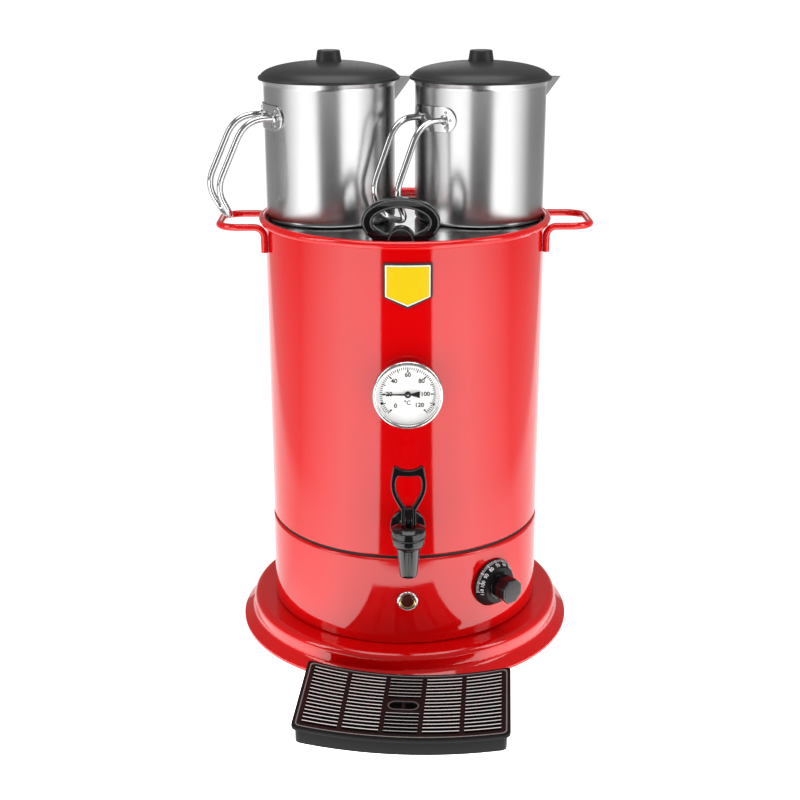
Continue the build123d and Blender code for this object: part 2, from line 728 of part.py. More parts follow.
def knob_skirt():
    low, high = skirt_span()
    skirt = cone(SKIRT_R, SKIRT_TOP_R, low, high)
    slope = (SKIRT_R - SKIRT_TOP_R) / SKIRT_HEIGHT
    mouth_r = SKIRT_R - SKIRT_WALL + slope * CUT
    roof_r = SKIRT_TOP_R - SKIRT_WALL + slope * SKIRT_ROOF
    skirt -= cone(mouth_r, roof_r, low - CUT, high - SKIRT_ROOF)
    skirt += peg(SKIRT_HUB_R, low + CUT, high)
    skirt -= peg(SHAFT_R + RUNNING, low - CUT, high + CUT)
    return outward(KNOB_AZIMUTH, KNOB_HEIGHT) * skirt


def knob_grip():
    _, low = skirt_span()
    outline = RegularPolygon(GRIP_R, GRIP_LOBES)
    outline = fillet(outline.vertices(), GRIP_R / 8)
    grip = Pos(0, 0, low) * extrude(outline, GRIP_HEIGHT, taper=GRIP_TAPER)
    top = grip.faces().sort_by(Axis.Z)[-1]
    grip = fillet(top.edges(), 1.2)
    _, shaft_high = shaft_span()
    bore_top = min(shaft_high + SKIN_GAP, low + GRIP_HEIGHT - GRIP_CAP / 2)
    grip -= peg(SHAFT_R + RUNNING, low - CUT, bore_top)
    return outward(KNOB_AZIMUTH, KNOB_HEIGHT) * grip


# ---- lamp, inlet and wiring

def lens_seat():
    return HOUSING_R + LAMP_BEZEL_PROUD / 4


def lamp_bezel():
    seat = HOUSING_R + SKIN_GAP
    back = HOUSING_R - LAMP_BARREL_LENGTH
    ring = peg(LAMP_BEZEL_R, HOUSING_R - 2 * CUT, HOUSING_R + LAMP_BEZEL_PROUD)
    ring = chamfer(ring.edges().sort_by(Axis.Z)[-1], 1.0)
    plane = outward(0, LAMP_HEIGHT)
    ring = plane * ring - peg(seat, 0, HOUSING_TOP_Z)
    ring += plane * peg(LAMP_BARREL_R, back, lens_seat())
    front = HOUSING_R + LAMP_BEZEL_PROUD
    ring -= plane * peg(LAMP_LENS_R + RUNNING, lens_seat(), front + CUT)
    return ring - plane * peg(LAMP_BARREL_BORE_R + RUNNING, back - CUT, front)


def lamp_lens():
    seat = lens_seat()
    back = HOUSING_R - LAMP_BARREL_LENGTH
    lens = peg(LAMP_LENS_R, seat, seat + LAMP_LENS_PROUD)
    lens = fillet(lens.edges().sort_by(Axis.Z)[-1], 1.0)
    return outward(0, LAMP_HEIGHT) * (lens + peg(LAMP_BARREL_BORE_R, back, seat))


def dry_boil_cutout():
    plate_z = TANK_Z - CUTOUT_PLATE_SHEET
    body_z = TANK_Z - CUTOUT_HEIGHT
    place = Pos(CUTOUT_X, CUTOUT_Y, (plate_z + TANK_Z) / 2)
    cutout = place * Box(CUTOUT_PLATE_LENGTH, CUTOUT_PLATE_WIDTH, CUTOUT_PLATE_SHEET)
    cutout += peg(CUTOUT_R, body_z, TANK_Z, CUTOUT_X, CUTOUT_Y)
    for side in (-1, 1):
        blade_x = CUTOUT_X + side * BLADE_PITCH / 2
        blade = Box(BLADE_WIDTH, BLADE_THICKNESS, BLADE_LENGTH, align=(Align.CENTER, Align.CENTER, Align.MAX))
        cutout += Pos(blade_x, CUTOUT_Y, body_z) * blade
    return cutout


def block_top():
    return COVER_Z + COVER_SHEET + BLOCK_HEIGHT


def terminal_block():
    seat = COVER_Z + COVER_SHEET
    block = Box(BLOCK_WIDTH, BLOCK_DEPTH, BLOCK_HEIGHT, align=(Align.CENTER, Align.CENTER, Align.MIN))
    block = Pos(0, BLOCK_Y, seat) * block
    for step in (-1, 0, 1):
        pole = (step * BLOCK_PITCH, BLOCK_Y - BLOCK_DEPTH / 4)
        block -= peg(BLOCK_SCREW_R, seat + BLOCK_HEIGHT / 2, block_top() + CUT, *pole)
    return block


def cord_bush():
    """Snap-in bush that grips the mains lead where it enters the housing."""
    plane = outward(180, BUSH_HEIGHT)
    tail = HOUSING_INNER_R - BUSH_TAIL
    flange = plane * peg(BUSH_FLANGE_R, HOUSING_INNER_R, HOUSING_R + BUSH_FLANGE_HEIGHT)
    bush = flange - peg(HOUSING_R + SKIN_GAP, 0, HOUSING_TOP_Z)
    bush += plane * peg(BUSH_R, tail, HOUSING_R + BUSH_FLANGE_HEIGHT)
    latch = plane * peg(BUSH_R + 1.2, HOUSING_INNER_R - BUSH_TAIL / 2, HOUSING_R)
    bush += latch & peg(HOUSING_INNER_R - SKIN_GAP, 0, HOUSING_TOP_Z)
    return bush - plane * peg(BUSH_BORE_R, tail - CUT, HOUSING_R + BUSH_FLANGE_HEIGHT + CUT)


def element_tail(side):
    """Lower end of an element leg, where its wire is joined."""
    seal_top = TANK_FLOOR_Z + ELEMENT_SEAL_HEIGHT
    return (side * ELEMENT_LEG_X, ELEMENT_BACK_Y, seal_top - ELEMENT_BUSH_LENGTH - ELEMENT_TAIL)


def blade_end(side):
    return (CUTOUT_X + side * BLADE_PITCH / 2, CUTOUT_Y, TANK_Z - CUTOUT_HEIGHT - BLADE_LENGTH)


def thermostat_pole(across, up, behind=0.0):
    """A wire's joint on the back of the thermostat, or a place straight behind it."""
    back, _ = thermostat_span()
    return tuple(outward(KNOB_AZIMUTH, KNOB_HEIGHT).from_local_coords((across, up, back - behind)))


def lamp_pole(side):
    return (side * LAMP_BARREL_BORE_R / 2, -(HOUSING_R - LAMP_BARREL_LENGTH), LAMP_HEIGHT)


def block_pole(step):
    """Top of a pole's clamp at the back of the terminal block."""
    return (step * BLOCK_PITCH, BLOCK_Y + BLOCK_DEPTH / 4, block_top())


def moved(point, x=0.0, y=0.0, z=0.0):
    return (point[0] + x, point[1] + y, point[2] + z)


def wire_live():
    """Block to cut-out, and cut-out to thermostat."""
    across, up = -THERMOSTAT_WIDTH / 4, THERMOSTAT_HEIGHT / 4
    pole, first_end, second_start = block_pole(-1), blade_end(-1), blade_end(1)
    first = [pole, moved(pole, z=WIRE_RISE), moved(first_end, z=-WIRE_DROP - BLADE_LENGTH), first_end]
    second = [second_start, moved(second_start, z=-WIRE_RISE)]
    second += [thermostat_pole(across, up, WIRE_TAIL), thermostat_pole(across, up)]
    return group([rod(first, [WIRE_BEND_R] * 2, WIRE_R), rod(second, [WIRE_BEND_R] * 2, WIRE_R)])


def wire_switched():
    """Thermostat to the left leg of the element, and on to the lamp."""
    across, up = THERMOSTAT_WIDTH / 4, THERMOSTAT_HEIGHT / 4
    tail, lamp = element_tail(-1), lamp_pole(1)
    main = [thermostat_pole(across, up), thermostat_pole(across, up, WIRE_TAIL)]
    main += [moved(tail, z=-WIRE_DROP), tail]
    side = [lamp, moved(lamp, y=WIRE_TAIL), thermostat_pole(0, -up, WIRE_TAIL), thermostat_pole(0, -up)]
    return group([rod(main, [WIRE_BEND_R] * 2, WIRE_R), rod(side, [WIRE_BEND_R] * 2, WIRE_R)])


def wire_neutral():
    """Block to the right leg of the element, and block to the lamp."""
    tail, pole = element_tail(1), block_pole(1)
    main = [pole, moved(pole, z=WIRE_RISE), moved(tail, z=-WIRE_DROP), tail]
    middle, lamp = block_pole(0), lamp_pole(-1)
    side = [middle, moved(middle, z=WIRE_RISE), moved(lamp, y=2 * WIRE_TAIL, z=-WIRE_RISE)]
    side += [moved(lamp, y=WIRE_TAIL), lamp]
    return group([rod(main, [WIRE_BEND_R] * 2, WIRE_R), rod(side, [WIRE_BEND_R] * 3, WIRE_R)])


# ---- thermometer

def case_front():
    return BODY_R + CASE_STANDOFF + CASE_DEPTH


def thermometer_case():
    back = BODY_R + CASE_STANDOFF
    front = case_front() - BEZEL_LIP
    cup = peg(CASE_R, back, front) - peg(CASE_R - CASE_WALL, back + CASE_WALL, front + CUT)
    return outward(0, DIAL_HEIGHT) * (cup - peg(STEM_THREAD_R, back - CUT, front))


def thermometer_bezel():
    front = case_front()
    ring = peg(BEZEL_R, front - BEZEL_DEPTH, front)
    ring = fillet(ring.edges().sort_by(Axis.Z)[-1], 1.6)
    ring -= peg(CASE_R + RUNNING, front - BEZEL_DEPTH - CUT, front - BEZEL_LIP)
    return outward(0, DIAL_HEIGHT) * (ring - peg(BEZEL_LIP_R, front - 2 * BEZEL_DEPTH, front + CUT))


def dial_span():
    front = case_front() - DIAL_RECESS
    return front - DIAL_SHEET, front


def dial_face():
    low, high = dial_span()
    return outward(0, DIAL_HEIGHT) * tube(DIAL_R, STAFF_R + RUNNING, low, high)


def dial_glass():
    high = case_front() - BEZEL_LIP
    return outward(0, DIAL_HEIGHT) * peg(DIAL_R, high - GLASS_THICKNESS, high)


def thermometer_pointer():
    """Needle that points left at rest, with its tail to the right and its staff behind."""
    _, dial = dial_span()
    low = dial + POINTER_GAP
    upper = [
        (-POINTER_LENGTH, POINTER_TIP_WIDTH / 2),
        (0, POINTER_WIDTH / 2),
        (POINTER_HUB_R, POINTER_WIDTH / 2),
        (POINTER_TAIL, POINTER_TAIL_WIDTH / 2),
    ]
    lower = [(x, -y) for x, y in reversed(upper)]
    pointer = Pos(0, 0, low) * extrude(make_face(Polyline(*upper, *lower, close=True)), POINTER_SHEET)
    pointer += peg(POINTER_HUB_R, low, low + 2 * POINTER_SHEET)
    pointer += peg(STAFF_R, low - STAFF_LENGTH, low)
    return outward(0, DIAL_HEIGHT) * pointer


def thermometer_stem():
    dial_low, _ = dial_span()
    seat = BODY_R + CASE_STANDOFF
    inner = TANK_INNER_R - STEM_LENGTH
    plane = outward(0, DIAL_HEIGHT)
    shoulder = plane * peg(STEM_SHOULDER_R, BODY_R - CUT, seat)
    stem = shoulder - peg(BODY_R + SKIN_GAP, 0, LID_SEAT_Z)
    nut_low = flat_limit(TANK_INNER_R, STEM_NUT_FLATS * 0.6) - STEM_NUT_HEIGHT
    stem += plane * peg(STEM_THREAD_R - SKIN_GAP, nut_low - CUT, seat + CASE_WALL)
    stem += plane * peg(STEM_R, inner, nut_low - CUT)
    bore_low = dial_low - STAFF_LENGTH
    return stem - plane * peg(STAFF_R + RUNNING, bore_low - CUT, seat + CASE_WALL + CUT)


def thermometer_nut():
    high = flat_limit(TANK_INNER_R, STEM_NUT_FLATS * 0.6)
    nut = hex_nut(STEM_NUT_FLATS, STEM_THREAD_R, high - STEM_NUT_HEIGHT, high)
    return outward(0, DIAL_HEIGHT) * nut


# ---- tap

def tap_body():
    """Spout, chamber and threaded shank, moulded in one."""
    mouth = TAP_HEIGHT - SPOUT_DROP
    cone_top = mouth + SPOUT_CONE
    collar_low = COLLAR_Z - COLLAR_HEIGHT
    outline = [
        (0, mouth),
        (SPOUT_MOUTH_R, mouth),
        (SPOUT_TOP_R, min(cone_top, collar_low)),
        (COLLAR_LOW_R, collar_low),
        (COLLAR_R, collar_low + COLLAR_HEIGHT / 3),
        (COLLAR_R, COLLAR_Z),
        (0, COLLAR_Z),
    ]
    axis = Pos(0, -TAP_REACH, 0)
    body = axis * turned(*outline)
    plane = outward(0, TAP_HEIGHT)
    flange_low = BODY_R + TAP_SEAL_THICKNESS
    body += plane * peg(SHANK_R, TANK_INNER_R - SHANK_TAIL, TAP_REACH)
    body += plane * peg(TAP_FLANGE_R, flange_low, flange_low + TAP_FLANGE_THICKNESS)
    body -= axis * peg(BONNET_R + SKIN_GAP, COLLAR_Z, TAP_HEIGHT + SHANK_R + CUT)
    body -= axis * peg(CHAMBER_R, CHAMBER_Z, COLLAR_Z + CUT)
    body -= axis * peg(SPOUT_BORE_R, mouth - CUT, CHAMBER_Z + CUT)
    return body - plane * peg(SHANK_BORE_R, TANK_INNER_R - SHANK_TAIL - CUT, TAP_REACH)


def tap_gaskets():
    """Washers against the outside of the shell and the inside of the tank."""
    plane = outward(0, TAP_HEIGHT)
    outer = plane * tube(TAP_SEAL_R, SHANK_R + SKIN_GAP, BODY_R - CUT, BODY_R + TAP_SEAL_THICKNESS)
    outer -= peg(BODY_R + SKIN_GAP, 0, LID_SEAT_Z)
    inner_low = tap_nut_top()
    inner = plane * tube(TAP_SEAL_R - 2, SHANK_R + SKIN_GAP, inner_low, TANK_INNER_R + CUT)
    inner &= peg(TANK_INNER_R - SKIN_GAP, 0, LID_SEAT_Z)
    return group([outer, inner])


def tap_nut_top():
    return flat_limit(TANK_INNER_R, TAP_SEAL_R) - TAP_SEAL_THICKNESS


def tap_nut():
    high = tap_nut_top()
    nut = hex_nut(TAP_NUT_FLATS, SHANK_R + SKIN_GAP, high - TAP_NUT_HEIGHT, high)
    return outward(0, TAP_HEIGHT) * nut


def tap_bonnet():
    band_top = COLLAR_Z + BONNET_BAND
    outline = [
        (0, COLLAR_Z),
        (BONNET_R, COLLAR_Z),
        (BONNET_R, band_top),
        (BONNET_TOP_R, BONNET_TOP_Z),
        (0, BONNET_TOP_Z),
    ]
    bonnet = turned(*outline)
    bonnet -= peg(BONNET_CAVITY_R, COLLAR_Z - CUT, BONNET_TOP_Z - BONNET_ROOF)
    bonnet -= peg(STEM_ROD_R + RUNNING, COLLAR_Z, BONNET_TOP_Z + CUT)
    return Pos(0, -TAP_REACH, 0) * bonnet


def stem_collar_z():
    return CHAMBER_Z + SEAT_HEIGHT


def tap_stem():
    """Lift rod with the collar that the spring presses on."""
    collar = stem_collar_z()
    stem = peg(STEM_ROD_R, collar - SEAT_HEIGHT / 2, LEVER_PIN_Z + STEM_ROD_R)
    stem += peg(STEM_COLLAR_R, collar, collar + STEM_COLLAR_HEIGHT)
    stem = Pos(0, -TAP_REACH, 0) * stem
    cross = Plane(origin=(0, -TAP_REACH, LEVER_PIN_Z), x_dir=(0, 1, 0), z_dir=(1, 0, 0))
    return stem - cross * peg(LEVER_PIN_R + RUNNING, -2 * STEM_ROD_R, 2 * STEM_ROD_R)


def tap_seat():
    """Silicone plug that closes the spout."""
    collar = stem_collar_z()
    plug = cone(SEAT_R - 1, SEAT_R, CHAMBER_Z, collar)
    plug -= peg(STEM_ROD_R, collar - SEAT_HEIGHT / 2, collar + CUT)
    return Pos(0, -TAP_REACH, 0) * plug


def tap_spring():
    low = stem_collar_z() + STEM_COLLAR_HEIGHT + SPRING_WIRE_R
    high = BONNET_TOP_Z - BONNET_ROOF - SPRING_WIRE_R
    coil = Helix(pitch=SPRING_PITCH, height=high - low, radius=SPRING_R)
    wire = sweep(Plane(coil @ 0, z_dir=coil % 0) * Circle(SPRING_WIRE_R), path=coil, is_frenet=True)
    return Pos(0, -TAP_REACH, low) * wire


def mirrored_face(right, radii):
    """A face with the same rounded outline on both sides of X = 0, from its right half upwards."""
    left = [(-x, y) for x, y in reversed(right) if x > 0]
    bends = radii + [radius for radius, point in zip(reversed(radii), reversed(right)) if point[0] > 0]
    return make_face(FilletPolyline(*right, *left, radius=bends, close=True).edges())


def lever_outline():
    """Front view of the lever about its pin: foot, neck, ring and two horns."""
    half, neck = LEVER_WIDTH / 2, LEVER_NECK_WIDTH / 2
    neck_top = LEVER_NECK_HEIGHT - LEVER_FOOT
    outer = [
        (neck, -LEVER_FOOT),
        (neck, neck_top),
        (half, LEVER_BELLY),
        (LEVER_HORN_X + LEVER_HORN / 2, LEVER_TOP),
        (LEVER_HORN_X - LEVER_HORN / 2, LEVER_TOP),
        (0, LEVER_TOP - LEVER_SADDLE),
    ]
    outer_radii = [LEVER_CORNER_R, LEVER_WAIST_R, LEVER_BELLY_R, LEVER_CORNER_R, LEVER_CORNER_R]
    hole = [
        (neck - LEVER_BAR / 2, neck_top + LEVER_CROTCH),
        (half - LEVER_BAR, LEVER_BELLY),
        (LEVER_HORN_X - LEVER_BAR / 2, LEVER_TOP - LEVER_SADDLE - LEVER_BAR),
    ]
    hole_radii = [LEVER_HOLE_R, LEVER_BELLY_R - LEVER_BAR, LEVER_HOLE_R]
    return mirrored_face(outer, outer_radii + [LEVER_SADDLE_R]) - mirrored_face(hole, hole_radii)


def tap_lever():
    plane = outward(0, LEVER_PIN_Z)
    half = LEVER_DEPTH / 2
    lever = Pos(0, 0, TAP_REACH - half) * extrude(lever_outline(), LEVER_DEPTH)
    slim = Pos(0, LEVER_TOP / 2 + LEVER_NECK_HEIGHT, TAP_REACH)
    slot_width = 2 * (STEM_ROD_R + LOOSE)
    slot_top = 1.8 * STEM_ROD_R + LOOSE
    downward = (Align.CENTER, Align.MAX, Align.CENTER)
    slot = Box(slot_width, slot_top + LEVER_FOOT + CUT, 3 * LEVER_DEPTH, align=downward)
    lever -= Pos(0, slot_top, TAP_REACH) * slot
    trim = Box(2 * LEVER_WIDTH, LEVER_TOP, LEVER_DEPTH, align=(Align.CENTER, Align.CENTER, Align.MIN))
    ring_half = LEVER_BAR / 2 + 0.6
    lever -= slim * Pos(0, 0, ring_half) * trim
    lever -= slim * Pos(0, 0, -ring_half - LEVER_DEPTH) * trim
    lever = plane * lever
    cross = Plane(origin=(0, -TAP_REACH, LEVER_PIN_Z), x_dir=(0, 1, 0), z_dir=(1, 0, 0))
    return lever - cross * peg(LEVER_PIN_R + SKIN_GAP / 5, -LEVER_NECK_WIDTH, LEVER_NECK_WIDTH)


def lever_pin():
    cross = Plane(origin=(0, -TAP_REACH, LEVER_PIN_Z), x_dir=(0, 1, 0), z_dir=(1, 0, 0))
    half = min(LEVER_PIN_LENGTH, LEVER_NECK_WIDTH) / 2
    return cross * peg(LEVER_PIN_R, -half, half)


# ---- carrying handles and plate

def side_handle(side):
    """A bent rod welded to the shell at its two legs, on the right for side 1."""
    loop_z = RIM_Z - SIDE_UNDER_RIM
    leg_x = sqrt((BODY_R + SIDE_ROD_R + SKIN_GAP) ** 2 - SIDE_SPREAD**2)
    out_x = SIDE_REACH - SIDE_ROD_R
    points = [
        (leg_x, -SIDE_SPREAD, loop_z - SIDE_DROP),
        (leg_x, -SIDE_SPREAD, loop_z),
        (out_x, -SIDE_SPREAD, loop_z),
        (out_x, SIDE_SPREAD, loop_z),
        (leg_x, SIDE_SPREAD, loop_z),
        (leg_x, SIDE_SPREAD, loop_z - SIDE_DROP),
    ]
    points = [(side * x, y, z) for x, y, z in points]
    return rod(points, [SIDE_LEG_BEND_R, SIDE_LOOP_BEND_R, SIDE_LOOP_BEND_R, SIDE_LEG_BEND_R], SIDE_ROD_R)


def badge_plate():
    half, drop = PLATE_WIDTH / 2, -PLATE_SIDE
    corners = [(-half, 0), (half, 0), (half, drop), (0, drop - PLATE_POINT), (-half, drop)]
    outline = make_face(FilletPolyline(*corners, radius=PLATE_CORNER_R, close=True))
    block = Pos(0, 0, BODY_R / 2) * extrude(outline, BODY_R)
    top = RIM_Z - PLATE_UNDER_RIM
    skin = tube(BODY_R + PLATE_THICKNESS, BODY_R + SKIN_GAP, top + drop - PLATE_POINT, top)
    return skin & (outward(0, top) * block)


# ---- lid

def pot_centre(side):
    turn = radians(POT_LINE_TURN)
    half = side * POT_SPACING / 2
    return half * cos(turn) - POT_LINE_Y * sin(turn), half * sin(turn) + POT_LINE_Y * cos(turn)


def bow_plane():
    return outward(LID_TURN, LID_Z)


def bow_screw_places():
    plane = bow_plane()
    places = [plane.from_local_coords((side * BOW_SCREW_PITCH / 2, 0, BOW_REACH)) for side in (-1, 1)]
    return [(place.X, place.Y) for place in places]


def lid_deck():
    deck = pressed([(LID_R, LID_SEAT_Z), (LID_R, LID_Z), (0, LID_Z)], [LID_BEND_R], LID_SHEET)
    low, high = LID_Z - LID_SHEET - CUT, LID_Z + CUT
    for side in (-1, 1):
        centre_x, centre_y = pot_centre(side)
        for x, y in [(0, 0)] + around(STEAM_CIRCLE_R, STEAM_HOLES):
            deck -= peg(STEAM_HOLE_R, low, high, centre_x + x, centre_y + y)
    for x, y in bow_screw_places():
        deck -= peg(BOW_SCREW_R + LOOSE, low, high, x, y)
    return deck


def lid_handle():
    """Black bow with a wide foot and a domed middle."""
    belly = Pos(0, BOW_BELLY)
    outer = belly * Ellipse(BOW_WIDTH / 2, BOW_HEIGHT - BOW_BELLY)
    hole = belly * Ellipse(BOW_WIDTH / 2 - BOW_BAR, BOW_HEIGHT - BOW_BELLY - BOW_BAR)
    foot = Pos(0, BOW_FOOT_HEIGHT / 2) * Rectangle(BOW_FOOT_WIDTH, BOW_FOOT_HEIGHT)
    dome = Ellipse(BOW_DOME_R, BOW_DOME_HEIGHT)
    outline = (outer - hole) + foot + dome
    above = Pos(0, BOW_HEIGHT) * Rectangle(2 * BOW_WIDTH, 2 * BOW_HEIGHT)
    bow = Pos(0, 0, BOW_REACH - BOW_DEPTH / 2) * extrude(outline & above, BOW_DEPTH)
    bow = bow_plane() * bow
    for x, y in bow_screw_places():
        bow -= peg(BOW_SCREW_R + RUNNING, LID_Z - CUT, LID_Z + BOW_SCREW_LENGTH + RUNNING, x, y)
    return bow


def lid_handle_screws():
    seat = LID_Z - LID_SHEET
    size = (BOW_SCREW_R, BOW_SCREW_LENGTH, BOW_HEAD_R, BOW_HEAD_HEIGHT)
    return group(screw(seat, *size, x, y) for x, y in bow_screw_places())


# ---- serving pots

def pot_place(side):
    x, y = pot_centre(side)
    return Pos(x, y, 0)


def spout_wedge(width, reach, fall, top):
    """A solid V whose point runs down to the wall, on the plane of the spout."""
    inner = POT_R - 3 * CUT
    tip = POT_R + reach
    point = inner + 2 * CUT
    big = [(-width / 2, -inner), (width / 2, -inner), (0, -tip)]
    tiny = [(-width / 60, -inner), (width / 60, -inner), (0, -point)]
    upper = Pos(0, 0, top) * make_face(Polyline(*big, close=True))
    lower = Pos(0, 0, top - fall) * make_face(Polyline(*tiny, close=True))
    return loft([lower, upper])


def pot_turn(side):
    """Azimuth of the handle. The right one is turned forward to pass clear of the left pot."""
    return LEFT_POT_TURN if side == LEFT else RIGHT_POT_TURN


def spout_hollow():
    top = POT_RIM_Z - SPOUT_RIM_DROP
    shrink = 2.4 * SPOUT_SHEET
    return spout_wedge(SPOUT_WIDTH - 2 * shrink, SPOUT_REACH - shrink, SPOUT_FALL - shrink, top)


def pot_body(side):
    rim_r = POT_R + POT_FLARE
    skin = [(0, LID_Z), (POT_R, LID_Z), (POT_R, POT_RIM_Z - POT_FLARE_HEIGHT), (rim_r, POT_RIM_Z)]
    body = pressed(skin, [POT_BEND_R, POT_FLARE_HEIGHT], POT_SHEET)
    body -= peg(2 * POT_R, POT_RIM_Z, POT_RIM_Z + POT_FLARE_HEIGHT)
    body -= Rot(0, 0, SPOUT_TURN) * spout_hollow()
    return pot_place(side) * body


def pot_spout(side):
    top = POT_RIM_Z - SPOUT_RIM_DROP
    spout = spout_wedge(SPOUT_WIDTH, SPOUT_REACH, SPOUT_FALL, top) - spout_hollow()
    flare = [(0, LID_Z), (POT_R + SKIN_GAP, LID_Z)]
    flare += [(POT_R + SKIN_GAP, POT_RIM_Z - 2 * POT_FLARE_HEIGHT)]
    flare += [(POT_R + POT_FLARE + SKIN_GAP, POT_RIM_Z + CUT), (0, POT_RIM_Z + CUT)]
    return pot_place(side) * (Rot(0, 0, SPOUT_TURN) * (spout - turned(*flare)))


def pot_handle(side):
    """Two rods joined below, with the plate that carries them on the wall of the pot."""
    root_z = POT_RIM_Z - POT_ROOT_BELOW_RIM
    half = POT_ROD_SPREAD / 2
    root_y = flat_limit(POT_R, half + POT_ROD_R)
    near = [
        (-half, -root_y, root_z),
        (-half, -(POT_R + POT_ROOT_REACH), root_z),
        (-half, -(POT_R + POT_GRIP_REACH), root_z - POT_GRIP_DROP),
        (-half, -(POT_R + POT_RETURN_REACH), root_z - POT_RETURN_DROP),
    ]
    far = [(half, y, z) for _, y, z in reversed(near)]
    bends = [POT_ROOT_BEND_R, POT_GRIP_BEND_R, POT_RETURN_BEND_R]
    handle = rod(near + far, bends + bends[::-1], POT_ROD_R)
    plate_outline = SlotOverall(BRACKET_LENGTH, BRACKET_HEIGHT)
    plate = Pos(0, 0, POT_R / 2) * extrude(plate_outline, POT_R)
    plate = (outward(0, root_z) * plate) & peg(POT_R + BRACKET_SHEET, LID_Z, POT_RIM_Z)
    handle = (handle + plate) - peg(POT_R + SKIN_GAP, LID_Z, POT_RIM_Z)
    return pot_place(side) * (Rot(0, 0, pot_turn(side)) * handle)


def pot_lid(side):
    """Domed lid that rests on the rim of the pot and is centred by a ring inside it."""
    seat = POT_RIM_Z
    lip_top = seat + POT_LID_SEAT + POT_LID_SHEET
    crown = seat + POT_LID_RISE + POT_LID_SHEET
    shoulder_r = POT_R - 2
    lip = Polyline((POT_LID_R, lip_top - POT_LID_LIP), (POT_LID_R, lip_top), (shoulder_r, lip_top + 1))
    middle_r = (shoulder_r + POT_LID_FLAT_R) / 2
    middle_z = lip_top + 1 + (crown - lip_top - 1) * 0.72
    dome = ThreePointArc((shoulder_r, lip_top + 1), (middle_r, middle_z), (POT_LID_FLAT_R, crown))
    flat = Line((POT_LID_FLAT_R, crown), (0, crown))
    skin = offset(Wire(lip.edges() + dome.edges() + flat.edges()), POT_LID_SHEET, side=Side.LEFT)
    lid = revolve(Plane.XZ * make_face(skin.edges()), Axis.Z, 360)
    ring_inner = POT_LID_RING_R - POT_LID_RING_SHEET
    lid += tube(POT_LID_RING_R, ring_inner, seat - POT_LID_RING_DEPTH, lip_top)
    lid += tube(POT_R + POT_FLARE, ring_inner, seat, lip_top - POT_LID_SHEET / 2)
    lid -= peg(POT_KNOB_STUD_R + RUNNING, seat, crown + CUT)
    return pot_place(side) * lid


def pot_knob(side):
    """Moulded knob with its threaded insert and the cap nut inside the lid."""
    crown = POT_RIM_Z + POT_LID_RISE + POT_LID_SHEET
    knob = cone(POT_KNOB_R, POT_KNOB_TOP_R, crown, crown + POT_KNOB_HEIGHT)
    knob = fillet(knob.edges().sort_by(Axis.Z)[-1], 1.5)
    under = crown - POT_LID_SHEET
    knob += peg(POT_KNOB_STUD_R, under - POT_KNOB_NUT_HEIGHT, crown)
    knob += peg(POT_KNOB_NUT_R, under - POT_KNOB_NUT_HEIGHT, under)
    return pot_place(side) * knob


# ---- drip tray

def tray_place():
    return Pos(TRAY_X, TRAY_Y, 0) * Rot(0, 0, TRAY_TURN)


def tray_outline(inset, corner_r):
    """Straight sides, a hollow back and a bowed front, drawn in from the edge by an inset."""
    half_depth = TRAY_DEPTH / 2
    sides = Rectangle(TRAY_WIDTH - 2 * inset, 3 * TRAY_DEPTH)
    front = Pos(0, TRAY_FRONT_ARC_R - half_depth) * Circle(TRAY_FRONT_ARC_R - inset)
    back = Pos(0, TRAY_BACK_ARC_R + half_depth) * Circle(TRAY_BACK_ARC_R + inset)
    outline = (sides & front) - back
    return fillet(outline.vertices(), corner_r)


def tray_pan():
    low = tray_outline(PAN_INSET, TRAY_CORNER_R - PAN_INSET / 2)
    hollow = tray_outline(PAN_INSET + PAN_WALL, TRAY_CORNER_R - PAN_INSET / 2 - PAN_WALL)
    pan = extrude(low, PAN_HEIGHT) - Pos(0, 0, PAN_FLOOR) * extrude(hollow, PAN_HEIGHT)
    return tray_place() * pan


def slot_field():
    """Rows of curved slots in five columns, as one flat sketch."""
    half_depth = TRAY_DEPTH / 2
    pitch = (TRAY_DEPTH - 2 * GRILLE_BORDER) / SLOT_ROWS
    gap = pitch * SLOT_SHARE
    usable = TRAY_WIDTH - 2 * GRILLE_BORDER
    outer_column = (usable - MIDDLE_COLUMN - 4 * RIB_WIDTH) / 4
    widths = [outer_column, outer_column, MIDDLE_COLUMN, outer_column, outer_column]
    columns = []
    left = -usable / 2
    for width in widths:
        columns.append(Pos(left + width / 2, 0) * Rectangle(width, 3 * TRAY_DEPTH))
        left += width + RIB_WIDTH
    slots = []
    for row in range(SLOT_ROWS):
        share = (row + 0.5) / SLOT_ROWS
        arc_r = TRAY_BACK_ARC_R + share * (TRAY_FRONT_ARC_R - TRAY_BACK_ARC_R)
        middle = half_depth - GRILLE_BORDER - pitch * (row + 0.5)
        ring = Circle(arc_r + gap / 2) - Circle(arc_r - gap / 2)
        band = Pos(0, middle + arc_r) * ring
        reach = Pos(0, middle + TRAY_DEPTH / 2 - gap) * Rectangle(TRAY_WIDTH, TRAY_DEPTH)
        for column in columns:
            slots += (band & column & reach).faces()
    return slots


